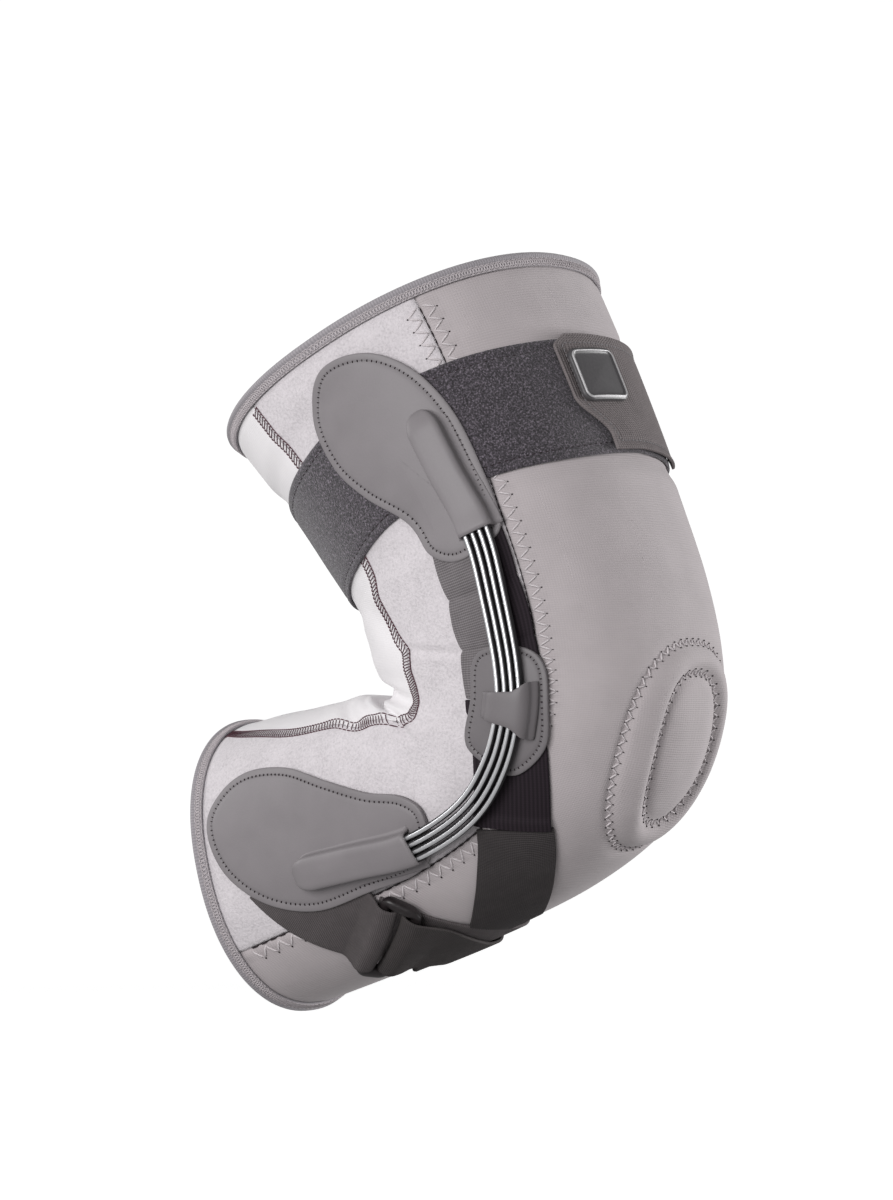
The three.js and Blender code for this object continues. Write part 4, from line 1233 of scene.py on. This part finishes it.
def rounded_rectangle(share, half_length, half_width, corner):
    """Points of a rectangle with round corners, at shares of its way round, and the directions out of it."""
    straight = (2 * (half_width - corner), 2 * (half_length - corner))
    quarter = math.pi * corner / 2
    runs = [straight[0], quarter, straight[1], quarter] * 2
    bounds = np.concatenate([[0], np.cumsum(runs)])
    distance = (share % 1) * bounds[-1]
    part = np.clip(np.searchsorted(bounds, distance, side="right") - 1, 0, len(runs) - 1)
    done = distance - bounds[part]
    turn = (part // 2) * math.pi / 2 + np.where(part % 2 == 1, done / corner, 0)
    out = np.stack([np.cos(turn), np.sin(turn)], axis=1)
    centres = np.array([(1, 1), (-1, 1), (-1, -1), (1, -1)]) * (half_length - corner, half_width - corner)
    middle = centres[part // 2]
    run = np.where(part % 2 == 0, done - np.array(runs)[part], 0)
    on_way = np.stack([-np.sin(turn), np.cos(turn)], axis=1) * run[:, None]
    return middle + corner * out + on_way, out


class KNEEBRACE_OT_thigh_strap(Operator):
    """Lays the velour strap, its stitched tab and the blank badge"""

    bl_idname = "knee_brace.thigh_strap"
    bl_label = "Thigh Strap"

    def execute(self, context):
        self.strap()
        self.tab()
        self.badge()
        return {"FINISHED"}

    def strap(self):
        """The velour band of the thigh strap."""
        mesh = bmesh.new()
        width, edge_width, edge_drop = 0.046, 0.001, 0.0003
        groove_at, groove_width, groove_depth = 0.0035, 0.0008, 0.0005

        def place(s, t):
            angle = 2 * math.pi * s
            from_edge = np.minimum(t, 1 - t) * width
            height = TAPE_HIGH - edge_drop * bell(from_edge, 0, edge_width)
            height -= groove_depth * bell(from_edge, groove_at, groove_width)
            return lay(strap_along(angle, t), angle, height)

        lay_grid(mesh, 180, 48, place, size=(0.44, 0.046), weld=True)
        strap = add_piece("velour_strap", mesh, [finishes["velour"]], ["thigh_strap"])
        thicken(strap, TAPE_THICK)
        soften(strap, 0.0004)

        sewing = bmesh.new()
        sewn_in, count = 0.011, 150
        for column, inset in (("top", sewn_in), ("bottom", -sewn_in)):

            def path(share, across):
                angle = 2 * math.pi * share
                along = strap_edge(column, angle) + inset + across
                height = np.full_like(share, TAPE_HIGH - groove_depth)
                return lay(along, angle, height), form_normals(along, angle)

            stitches(sewing, path, count, sizes().thread * 1.2, gap=0.2)
        face_outwards(sewing)
        add_piece("velour_strap_stitches", sewing, [finishes["dark_thread"]])

    def tab(self):
        """The stitched tab at the front of the strap."""
        mesh = bmesh.new()
        width, height = 0.056, 0.046
        hem_rise, hem_width = 0.0005, 0.0018
        groove_at, groove_width, groove_depth = 0.0034, 0.0008, 0.0004

        def place(s, t):
            from_edge = np.minimum(np.minimum(s, 1 - s) * width, np.minimum(t, 1 - t) * height)
            raised = SECOND_HIGH + hem_rise * bell(from_edge, 0, hem_width)
            raised -= groove_depth * bell(from_edge, groove_at, groove_width)
            return lay(*tab_spots(s, t), raised)

        lay_grid(mesh, 80, 60, place, size=(width, height))
        tab = add_piece("webbing_tab", mesh, [finishes["tab"]], ["strap_tab"])
        thicken(tab, TAPE_THICK)
        soften(tab, 0.0005, 3)

        sewing = bmesh.new()
        inset_s, inset_t = groove_at / width, groove_at / height
        near, low = 1 - inset_s, 1 - inset_t
        corners = [(near, inset_t), (near, low), (inset_s, low), (inset_s, inset_t)]
        for first, second, count in zip(corners, corners[1:] + corners[:1], (20, 24, 20, 24)):

            def path(share, across):
                s, t = (np.array(first) + np.subtract(second, first) * share[:, None]).T
                along, angle = tab_spots(s, t + across)
                raised = np.full_like(share, SECOND_HIGH - 0.0003)
                return lay(along, angle, raised), form_normals(along, angle)

            stitches(sewing, path, count, sizes().thread * 1.2, gap=0.25)
        face_outwards(sewing)
        add_piece("webbing_tab_stitches", sewing, [finishes["grey_thread"]])

    def badge(self):
        """The blank badge with its raised rim."""
        mesh = bmesh.new()
        corner, rim_inset, face_inset, middle_inset = 0.004, 0.0038, 0.0031, 0.0100

        # The badge from its underside to its middle, as inset, height and number of the finish.
        rows = [
            (0.0, 0.0038, 1), (0.0, 0.0048, 1), (0.0003, 0.0054, 1), (0.0009, 0.0055, 1), (0.0011, 0.0058, 0),
            (0.0013, 0.0060, 0), (0.0015, 0.0060, 0), (0.0017, 0.0057, 0), (0.0019, 0.0053, 1),
            (0.0030, 0.0052, 1), (0.0050, 0.0053, 1), (0.0080, 0.0055, 1), (0.0100, 0.0056, 1),
        ]
        along, degrees = BADGE_SPOT
        centre = np.array([along]), np.radians([degrees])
        down = unit(form_slopes(*centre)[0])
        sideways = np.cross(down, form_normals(*centre))

        def place(s, t):
            inset, height, _ = (np.array(rows)[np.rint(t * (len(rows) - 1)).astype(int)]).T
            edge, out = rounded_rectangle(s, sizes().badge_width / 2, sizes().badge_height / 2, corner)
            flat = edge - out * np.minimum(inset, rim_inset)[:, None]
            flat *= 1 - smooth_step(inset, face_inset, middle_inset)[:, None]
            ones = np.ones((len(s), 1))
            spots = [np.repeat(value, len(s)) for value in centre]
            spots = shift_spots(*spots, ones * down, flat[:, 1])
            spots = shift_spots(*spots, ones * sideways, flat[:, 0])
            return lay(*spots, height)

        lay_grid(mesh, 96, len(rows) - 1, place, weld=True)
        face_outwards(mesh)
        layer = mesh.loops.layers.uv.active
        for face in mesh.faces:
            row = sum(loop[layer].uv.y for loop in face.loops) / len(face.loops) * (len(rows) - 1)
            face.material_index = rows[min(int(row + 0.5), len(rows) - 1)][2]
        looks = [finishes["badge_rim"], finishes["badge_face"]]
        add_piece("blank_badge", mesh, looks, ["tab_badge"])


# Hinge pads

# Rim of a pad from its underside over the sewn groove to its top, and the run of the stitches.
PAD_EDGE_ROWS = [
    dict(inset=0.0000, height=0.0012),
    dict(inset=0.0000, height=0.0026),
    dict(inset=0.0001, height=0.0029),
    dict(inset=0.0003, height=0.0031),
    dict(inset=0.0007, height=0.0032),
    dict(inset=0.0022, height=0.0032),
    dict(inset=0.0026, height=0.0031),
    dict(inset=0.0029, height=0.0030),
    dict(inset=0.0032, height=0.0031),
    dict(inset=0.0037, height=0.0033),
    dict(inset=0.0050, height=0.0034),
    dict(inset=0.0070, height=0.0035),
]
PAD_STITCH_INSET = 0.0029
PAD_STITCH_PITCH = 0.0021


def outline_points(outline, share, inset):
    """Points a distance inside a closed outline that runs clockwise in the side view."""
    step = 0.002
    points = spline(outline, share % 1, True)
    heading = unit(spline(outline, (share + step) % 1, True) - spline(outline, (share - step) % 1, True))
    inwards = np.stack([heading[:, 1], -heading[:, 0]], axis=1)
    return points + inwards * inset[:, None]


def over_strap(along, angle):
    """How far a spot lies over the thigh strap, from 0 beside it to 1 on it."""
    margin = 0.012
    below_top = smooth_step(along - strap_edge("top", angle), -margin, 0)
    above_bottom = smooth_step(strap_edge("bottom", angle) - along, -margin, 0)
    return below_top * above_bottom


def pad_shell(shape, facets, edge_scale=1.0):
    """A closed pad: its underside, its rounded rim, the sewn groove and the crowned top."""
    mesh = bmesh.new()
    under_inset, under_height, under_edge = 0.0006, 0.0022, 0.0014
    rings, crown, strap_lift = 8, 0.0003, 0.0021
    inner = np.linspace(0, 1, rings + 1)[1:]
    under = [(under_inset, share, under_height) for share in inner[::-1]] + [(under_inset, 0.0, under_edge)]
    rim = [(row["inset"] * edge_scale, 0.0, row["height"]) for row in PAD_EDGE_ROWS]
    top_inset, _, top_height = rim[-1]
    top = [(top_inset, share, top_height + crown * share) for share in inner]
    rows = np.array(under + rim + top)

    def place(s, t):
        inset, share, height = rows[np.rint(t * (len(rows) - 1)).astype(int)].T
        edge = outline_points(shape["outline"], s, inset)
        x, z = (edge + (np.array(shape["middle"]) - edge) * share[:, None]).T
        along, angle = side_spots(x, z)
        lifted = np.maximum(height, strap_lift * over_strap(along, angle))
        return lay(along, angle, lifted)

    lay_grid(mesh, facets, len(rows) - 1, place, weld=True)
    face_outwards(mesh)
    return mesh


def pad_sewing(shape, edge_scale=1.0):
    """Thread in a pad's sewn groove, with painted shade in its needle holes."""
    mesh = bmesh.new()
    even, way = even_shares(spline(shape["outline"], np.linspace(0, 1, 400) % 1, True))
    count = int(way / PAD_STITCH_PITCH)
    groove_height, hole_radius = 0.0030, 0.00048

    def path(share, across):
        inset = np.full_like(share, PAD_STITCH_INSET * edge_scale)
        along, angle = side_spots(*outline_points(shape["outline"], even(share), inset).T)
        return lay(along, angle, np.full_like(share, groove_height)), form_normals(along, angle)

    stitches(mesh, path, count, sizes().thread * 0.8, gap=0.5)
    needle_hole_shade(mesh, path, count, hole_radius, 0.6, shift=0.5)
    face_outwards(mesh)
    return mesh


# Section of a spring pocket, as shares of its half width and its rise, and the length of its closing dome.
POCKET_SECTION = [
    (-1.55, -0.03), (-1.30, 0.00), (-1.12, 0.06), (-1.02, 0.22), (-0.98, 0.55), (-0.90, 0.84), (-0.70, 0.97),
    (-0.35, 1.00), (0.0, 1.01), (0.35, 1.00), (0.70, 0.97), (0.90, 0.84), (0.98, 0.55), (1.02, 0.22),
    (1.12, 0.06), (1.30, 0.00), (1.55, -0.03),
]
POCKET_DOME = 0.010


def pocket_hood(mesh, closed_end, mouth):
    """The raised pocket over the spring ends, closed by a dome and open at its mouth."""
    reach = abs(mouth - closed_end)
    half, rise = sizes().pocket_half, sizes().pocket_rise
    crowding, least_size, sunk = 1.6, 0.02, 0.0003

    def place(s, t):
        done = s**crowding * reach
        domed = np.clip(1 - done / POCKET_DOME, 0, 1)
        size = np.sqrt(1 - domed**2)
        across, up = spline(POCKET_SECTION, t).T
        forward = 1 if mouth > closed_end else -1
        distance = closed_end + forward * done
        spots = spring_route.beside(distance, -forward * across * half * np.maximum(size, least_size))
        return lay(*spots, PAD_HIGH - sunk + up * rise * size)

    lay_grid(mesh, 44, 48, place, size=(reach, 3 * half))


class KNEEBRACE_OT_pads(Operator):
    """Makes the pads with their spring pockets, the keeper pads and the keeper bands"""

    bl_idname = "knee_brace.pads"
    bl_label = "Hinge Pads"

    def execute(self, context):
        size = sizes()
        end = spring_route.length
        pads = (
            ("upper_pad", UPPER_PAD, 150, 1.0, "leather", (0.0, size.upper_pocket)),
            ("lower_pad", LOWER_PAD, 150, 1.0, "leather", (end, end - size.lower_pocket)),
            # The keeper pads take the darker keeper leatherette: painted shade.
            ("keeper_pad", KEEPER_PAD, 90, 0.75, "keeper", None),
        )
        for side in SIDES:
            for name, shape, facets, edge_scale, finish, pocket in pads:
                looks = [finishes[finish]]
                node = f"{name}_{side}"
                shell = pad_shell(shape, facets, edge_scale)
                pad = add_piece(f"{node}_leather", shell, looks, [node], side)
                sewing = pad_sewing(shape, edge_scale)
                threads = [finishes["grey_thread"], finishes["dark_thread"]]
                add_piece(f"{node}_stitches", sewing, threads, side=side)
                if pocket:
                    hood = bmesh.new()
                    pocket_hood(hood, *pocket)
                    thicken(add_piece(f"{node}_pocket", hood, looks, side=side), 0.0009)
            self.band(side)
        return {"FINISHED"}

    def band(self, side):
        """The loop that the springs pass under, wider at its front end."""
        size = sizes()
        mesh = bmesh.new()
        half, foot, rise = 0.0083, 0.0040, 0.0068
        flatten = 2 / 3
        front_growth, edge_drop = 0.45, 0.0004
        flare_reach, flare_share = 0.0022, 0.05

        def place(s, t):
            turn = math.pi * s
            across = signed_power(np.cos(turn), flatten) * half
            widening = 1 + front_growth * smooth_step(across / half, 0.1, 1.0)
            distance = size.band_at + (t - 0.5) * size.band_width * widening
            flare = flare_reach * (bell(s, 0, flare_share) - bell(1 - s, 0, flare_share))
            height = foot + np.sin(turn) ** flatten * rise - edge_drop * np.abs(2 * t - 1) ** 6
            return lay(*spring_route.beside(distance, -across - flare), height)

        lay_grid(mesh, 60, 18, place, size=(0.034, size.band_width))
        node = f"keeper_band_{side}"
        # The band takes the darker keeper leatherette: painted shade.
        band = add_piece(f"{node}_leather", mesh, [finishes["keeper"]], [node], side)
        thicken(band, 0.0014)
        soften(band, 0.0004, 3)


class KNEEBRACE_OT_springs(Operator):
    """Bends the polished spring leaves between the pockets"""

    bl_idname = "knee_brace.springs"
    bl_label = "Spring Leaves"

    def execute(self, context):
        size = sizes()
        count = 4
        squareness = 2 / 2.2
        outer_edge, polished = 0.25, 0.1
        for side in SIDES:
            for number in range(1, count + 1):
                mesh = bmesh.new()
                middle = (number - (count + 1) / 2) * size.leaf_pitch
                run = spring_route.length - 2 * size.leaf_inset

                def place(s, t):
                    turn = 2 * math.pi * t
                    across = middle + signed_power(np.cos(turn), squareness) * size.leaf_width / 2
                    up = signed_power(np.sin(turn), squareness) * size.leaf_depth / 2
                    spots = spring_route.beside(size.leaf_inset + run * s, across)
                    return lay(*spots, LEAF_LOW + size.leaf_depth / 2 + up)

                lay_grid(mesh, 100, 32, place, size=(run, LEAF_MAP_ROUND), weld=True)
                layer = mesh.loops.layers.uv.active
                for face in mesh.faces:
                    around = sum(loop[layer].uv.y for loop in face.loops) / len(face.loops)
                    # Faces past the polished share round the outer edge take the dark flank finish: painted
                    # shade on the flanks and in the gaps between the leaves.
                    face.material_index = int(abs(around / LEAF_MAP_ROUND - outer_edge) > polished)
                close_ends(mesh)
                face_outwards(mesh)
                node = f"spring_leaf_{number}_{side}"
                looks = [finishes["steel"], finishes["flank"]]
                add_piece(f"{node}_steel", mesh, looks, [node], side)
        return {"FINISHED"}


class KNEEBRACE_OT_webbing(Operator):
    """Lays the webbing and elastic behind the springs and towards the calf strap"""

    bl_idname = "knee_brace.webbing"
    bl_label = "Webbing"

    def execute(self, context):
        width = sizes().upright_width
        elastic_end = elastic_route.length + 0.0016

        def crumpled(distance, across):
            first_puff, puff_pitch, puff_rise = 0.006, 0.0215, 0.0015
            narrowing, valley_drop, side_drop = 0.06, 0.0006, 0.6
            hem_inset, hem_width, hem_depth = 0.003, 0.0008, 0.0003
            puffs = np.abs(np.sin(math.pi * (distance - first_puff) / puff_pitch)) ** 0.5
            sides = 1 - side_drop * (2 * across / width) ** 4
            hem = bell(np.abs(across) - width / 2, -hem_inset, hem_width)
            height = TAPE_HIGH - valley_drop + puff_rise * puffs * sides - hem_depth * hem
            return height, 1 - narrowing + narrowing * puffs

        def edged(distance, across):
            edge_width, edge_drop = 0.001, 0.0003
            lap_start, lap_end, lap_rise = 0.006, 0.003, 0.0010
            rounded = edge_drop * bell(np.abs(across) - width / 2, 0, edge_width)
            lapped = lap_rise * smooth_step(distance, elastic_end - lap_start, elastic_end - lap_end)
            return TAPE_HIGH - rounded + lapped, 1.0

        for side in SIDES:
            upright = ribbon(upright_route, 0.0, upright_route.length, width, crumpled, 100, 24)
            stretch = ribbon(elastic_route, 0.0, elastic_end, width, edged, 60, 24)
            parts = (
                ("upright_webbing", upright, finishes["webbing"], "webbing", (width, 0.074)),
                ("upright_elastic", stretch, finishes["elastic"], "elastic", (width, 0.051)),
                # The lower webbing's darker finish is painted shade.
                ("lower_webbing", self.lower(side), finishes["lower"], "webbing", (width, 0.064)),
            )
            # The front strip of the upright webbing takes the near-black elastic finish: a painted shadow of
            # the springs on the webbing.
            painted_shade_strip = 0.62
            layer = upright.loops.layers.uv.active
            for face in upright.faces:
                face.material_index = int(face.loops[0][layer].uv.y > painted_shade_strip * width)
            for name, mesh, look, slot, flat in parts:
                node = f"{name}_{side}"
                band = add_piece(f"{node}_band", mesh, [look, finishes["elastic"]], [node], side)
                thicken(band, TAPE_THICK)
                soften(band, 0.0003)
        return {"FINISHED"}

    def lower(self, side):
        """The lower webbing, its threads cut where the calf strap begins or at the middle of the front."""
        width = sizes().upright_width
        rows = 30
        lap, least_degrees = 0.001, 0.4
        route = form_route(LOWER_WEBBING_ROUTES[side])
        probe = np.linspace(0, route.length, 240)
        ends = []
        for across in np.linspace(0.5, -0.5, rows + 1) * width:
            along, angle = route.beside(probe, np.full_like(probe, across))
            calf_along = np.interp(-angle, -calf_route.angle, calf_route.along)
            reach = np.linalg.norm(form_slopes(along, angle)[0], axis=1)
            covered = (calf_along - along) * reach < sizes().calf_width / 2 - lap
            stopped = np.flatnonzero(covered | (angle < math.radians(least_degrees)))
            ends.append(probe[stopped[0]] if len(stopped) else probe[-1])
        ends = np.array(ends)
        mesh = bmesh.new()

        def place(s, t):
            distance = s * ends[np.rint(t * rows).astype(int)]
            across = (0.5 - t) * width
            return lay(*route.beside(distance, across), np.full_like(s, TAPE_HIGH))

        lay_grid(mesh, 80, rows, place, size=(route.length, width))
        return mesh


# Calf strap


def bar_turn(bar, reach):
    """Distances and heights of a band's turn round a bar of the ring, from over the bar to beneath it."""
    return [(bar + reach * at["far"], RING_HEIGHT + LOOP_RADIUS * at["up"]) for at in LOOP_TURN]


def folded_band(profile, columns, rows, width, skew=None):
    """A band that follows distances and heights along the calf route, so that it can fold over a bar.

    Where skew takes it past the layer beneath it, it settles onto the sleeve.
    """
    overhang, settled_overhang = 0.001, 0.007
    shares = np.linspace(0, 1, 600)
    curve = spline(profile, shares)
    done = np.concatenate([[0], np.cumsum(np.linalg.norm(np.diff(curve, axis=0), axis=1))])
    mesh = bmesh.new()

    def place(s, t):
        distance, height = (np.interp(s * done[-1], done, curve[:, column]) for column in range(2))
        across = (0.5 - t) * width
        if skew:
            across = across + skew(s)
        settled = smooth_step(across, width / 2 + overhang, width / 2 + settled_overhang)
        height = height - (SECOND_MIDDLE - TAPE_MIDDLE) * settled
        return lay(*calf_route.beside(distance, across), height)

    lay_grid(mesh, columns, rows, place, size=(done[-1], width))
    return mesh


class KNEEBRACE_OT_calf_strap(Operator):
    """Threads the calf strap and its anchor through the ring"""

    bl_idname = "knee_brace.calf_strap"
    bl_label = "Calf Strap"

    def execute(self, context):
        width = sizes().calf_width
        ring_at = calf_route.distance_at(RING_DEGREES)
        self.anchor(ring_at - RING_HALF_WIDTH, width)
        self.strap(ring_at + RING_HALF_WIDTH, width)
        self.ring(ring_at, width)
        return {"FINISHED"}

    def anchor(self, bar, width):
        """Webbing from under the pad, up over the ring's near bar and back beneath it."""
        start = calf_route.distance_at(STRAP_END_DEGREES)

        # Distances along the calf route and heights, here and in the strap's three runs.
        profile = [
            (start, TAPE_MIDDLE), ((start + bar - 0.012) / 2, TAPE_MIDDLE), (bar - 0.012, TAPE_MIDDLE),
            (bar - 0.0075, TAPE_MIDDLE + 0.0004), (bar - 0.0042, RING_HEIGHT),
            (bar - 0.0022, RING_HEIGHT + 0.75 * LOOP_RADIUS), (bar, RING_HEIGHT + LOOP_RADIUS),
            *bar_turn(bar, LOOP_REACH), (bar, TAPE_MIDDLE), (bar - 0.003, TAPE_MIDDLE),
        ]
        mesh = folded_band(profile, 100, 24, width)
        anchor = add_piece("anchor_webbing", mesh, [finishes["calf_under"]], ["strap_anchor"])
        thicken(anchor, TAPE_THICK, 0.0)
        soften(anchor, 0.0003)

    def strap(self, bar, width):
        """The strap from under the left pad, round the ring's far bar and back over itself."""
        start = calf_route.distance_at(-STRAP_END_DEGREES)
        free_end = calf_route.distance_at(FREE_END_DEGREES)
        layer = SECOND_MIDDLE + 0.0002
        flat_end, outer_start = bar + 0.006, bar + 0.018
        skew_start, skew_end, under_share = 0.7, 0.9, 0.63
        flat = [(start + (flat_end - start) * share, TAPE_MIDDLE) for share in np.linspace(0, 1, 9)]
        loop = [
            (bar + 0.002, TAPE_MIDDLE), (bar, TAPE_MIDDLE), *reversed(bar_turn(bar, -LOOP_REACH)),
            (bar, RING_HEIGHT + LOOP_RADIUS), (bar + 0.004, RING_HEIGHT + 0.65 * LOOP_RADIUS),
            (bar + 0.011, layer + 0.0006),
        ]
        outer = [(outer_start + (free_end - outer_start) * share, layer) for share in np.linspace(0, 1, 6)]

        def skew(s):
            return FREE_END_SKEW * smooth_step(s, skew_start, skew_end)

        mesh = folded_band(flat + loop + outer, 260, 24, width, skew)
        layer_at = mesh.loops.layers.uv.active
        way = max(loop[layer_at].uv.x for face in mesh.faces for loop in face.loops)
        for face in mesh.faces:
            face.material_index = int(face.loops[0][layer_at].uv.x < under_share * way)
        looks = [finishes["calf"], finishes["calf_under"]]
        strap = add_piece("calf_strap_band", mesh, looks, ["calf_strap"])
        thicken(strap, TAPE_THICK, 0.0)
        soften(strap, 0.0003)

    def ring(self, ring_at, width):
        """The rectangular ring."""
        mesh = bmesh.new()
        slack = 0.0025
        half_length = (width + slack + RING_BAR) / 2
        end_growth = 0.45
        flatten = 2 / 2.8

        def place(s, t):
            edge, out = rounded_rectangle(s, half_length, RING_HALF_WIDTH, RING_CORNER)
            turn = 2 * math.pi * t
            half_bar = RING_BAR / 2 * (1 + end_growth * out[:, 0] ** 2)
            at = edge + out * (signed_power(np.cos(turn), flatten) * half_bar)[:, None]
            height = RING_HEIGHT + signed_power(np.sin(turn), flatten) * half_bar
            return lay(*calf_route.beside(ring_at + at[:, 1], at[:, 0]), height)

        lay_grid(mesh, 160, 20, place, size=(0.1, 0.011), weld=True)
        face_outwards(mesh)
        add_piece("ring_plastic", mesh, [finishes["plastic"]], ["ring_buckle"])


# Stage


def view_axes(azimuth, elevation):
    """Directions back to the camera, to the right and upwards, for a view from two angles."""
    turn, rise = math.radians(azimuth), math.radians(elevation)
    back = Vector((math.sin(turn) * math.cos(rise), -math.cos(turn) * math.cos(rise), math.sin(rise)))
    right = Vector((math.cos(turn), math.sin(turn), 0.0))
    return back, right, back.cross(right)


def add_light(name, azimuth, elevation, distance, size, power):
    """A soft square light that faces the brace."""
    light = bpy.data.lights.new(name, "AREA")
    light.size = size
    light.energy = power
    lamp = bpy.data.objects.new(name, light)
    back, _, _ = view_axes(azimuth, elevation)
    lamp.location = back * distance
    lamp.rotation_euler = (-back).to_track_quat("-Z", "Y").to_euler()
    bpy.context.scene.collection.objects.link(lamp)


class KNEEBRACE_OT_stage(Operator):
    """Sets the pale floor, the soft studio light and the camera"""

    bl_idname = "knee_brace.stage"
    bl_label = "Stage"

    def execute(self, context):
        scene = context.scene
        self.backdrop()
        for light in LIGHTS:
            add_light(**light)
        world = bpy.data.worlds.new("soft_room")
        world.use_nodes = True
        world.node_tree.nodes["Background"].inputs["Color"].default_value = (1.0, 1.0, 1.0, 1.0)
        world.node_tree.nodes["Background"].inputs["Strength"].default_value = ROOM_GLOW
        scene.world = world
        scene.view_settings.view_transform = "Standard"

        back, right, up = view_axes(CAMERA_AZIMUTH, CAMERA_ELEVATION)
        camera = bpy.data.objects.new("photo_camera", bpy.data.cameras.new("photo_camera"))
        aside = (MIDDLE_PIXEL[0] - KNEE_PIXEL[0]) * PHOTO_PIXEL
        above = (KNEE_PIXEL[1] - MIDDLE_PIXEL[1]) * PHOTO_PIXEL
        camera.location = right * aside + up * above + back * CAMERA_DISTANCE
        camera.rotation_euler = (-back).to_track_quat("-Z", "Y").to_euler()
        camera.data.lens = CAMERA_LENS
        camera.data.sensor_width = CAMERA_SENSOR
        scene.collection.objects.link(camera)
        scene.camera = camera
        return {"FINISHED"}

    def backdrop(self):
        """A round floor that curves up into a wall on every side."""
        radius, curve, top = 2.6, 0.9, 3.0
        mesh = bmesh.new()
        turns = [math.radians(degrees) for degrees in range(0, 91, 10)]
        profile = [(0.0, 0.0)]
        profile += [(radius - curve + curve * math.sin(a), curve - curve * math.cos(a)) for a in turns]
        profile.append((radius, top))
        corners = [mesh.verts.new((x, 0.0, FLOOR_LEVEL + z)) for x, z in profile]
        edges = [mesh.edges.new(pair) for pair in zip(corners, corners[1:])]
        line = corners + edges
        whole = 2 * math.pi
        bmesh.ops.spin(mesh, geom=line, axis=(0, 0, 1), cent=(0, 0, 0), steps=72, angle=whole, use_merge=True)
        bmesh.ops.remove_doubles(mesh, verts=mesh.verts, dist=1e-6)
        for face in mesh.faces:
            face.smooth = True
        data = bpy.data.meshes.new("floor")
        mesh.to_mesh(data)
        mesh.free()
        white = (1.0, 1.0, 1.0, 1.0)
        material, shader = new_finish("pale_floor", 0.9, Emission_Color=white, Emission_Strength=FLOOR_GLOW)
        tint(material, shader, grain(material, 0.4), colours().floor, (0.99, 1.0))
        data.materials.append(material)
        floor = bpy.data.objects.new("floor", data)
        floor.visible_diffuse = False
        floor.visible_glossy = False
        bpy.context.scene.collection.objects.link(floor)


class KNEEBRACE_PT_build(Panel):
    """Lists the steps that build the brace"""

    bl_label = "Knee Brace"
    bl_idname = "KNEEBRACE_PT_build"
    bl_space_type = "VIEW_3D"
    bl_region_type = "UI"
    bl_category = "Knee Brace"

    def draw(self, context):
        for step in STEPS:
            self.layout.operator(step.bl_idname)
        for group in (context.scene.knee_brace_sizes, context.scene.knee_brace_colours):
            box = self.layout.box()
            for name in group.__annotations__:
                box.prop(group, name)


STEPS = (
    KNEEBRACE_OT_sleeve,
    KNEEBRACE_OT_bindings,
    KNEEBRACE_OT_seams,
    KNEEBRACE_OT_thigh_strap,
    KNEEBRACE_OT_webbing,
    KNEEBRACE_OT_pads,
    KNEEBRACE_OT_springs,
    KNEEBRACE_OT_calf_strap,
    KNEEBRACE_OT_stage,
)
CLASSES = (BraceSizes, BraceColours, *STEPS, KNEEBRACE_PT_build)


def register():
    """Adds the classes and the scene's sizes and colours."""
    for item in CLASSES:
        bpy.utils.register_class(item)
    bpy.types.Scene.knee_brace_sizes = PointerProperty(type=BraceSizes)
    bpy.types.Scene.knee_brace_colours = PointerProperty(type=BraceColours)


def unregister():
    """Removes what register added."""
    del bpy.types.Scene.knee_brace_colours
    del bpy.types.Scene.knee_brace_sizes
    for item in reversed(CLASSES):
        bpy.utils.unregister_class(item)


def main():
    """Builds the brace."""
    register()
    make_finishes()
    bpy.ops.knee_brace.sleeve()
    bpy.ops.knee_brace.bindings()
    bpy.ops.knee_brace.seams()
    bpy.ops.knee_brace.thigh_strap()
    bpy.ops.knee_brace.webbing()
    bpy.ops.knee_brace.pads()
    bpy.ops.knee_brace.springs()
    bpy.ops.knee_brace.calf_strap()
    bpy.ops.knee_brace.stage()


if __name__ == "__main__":
    main()
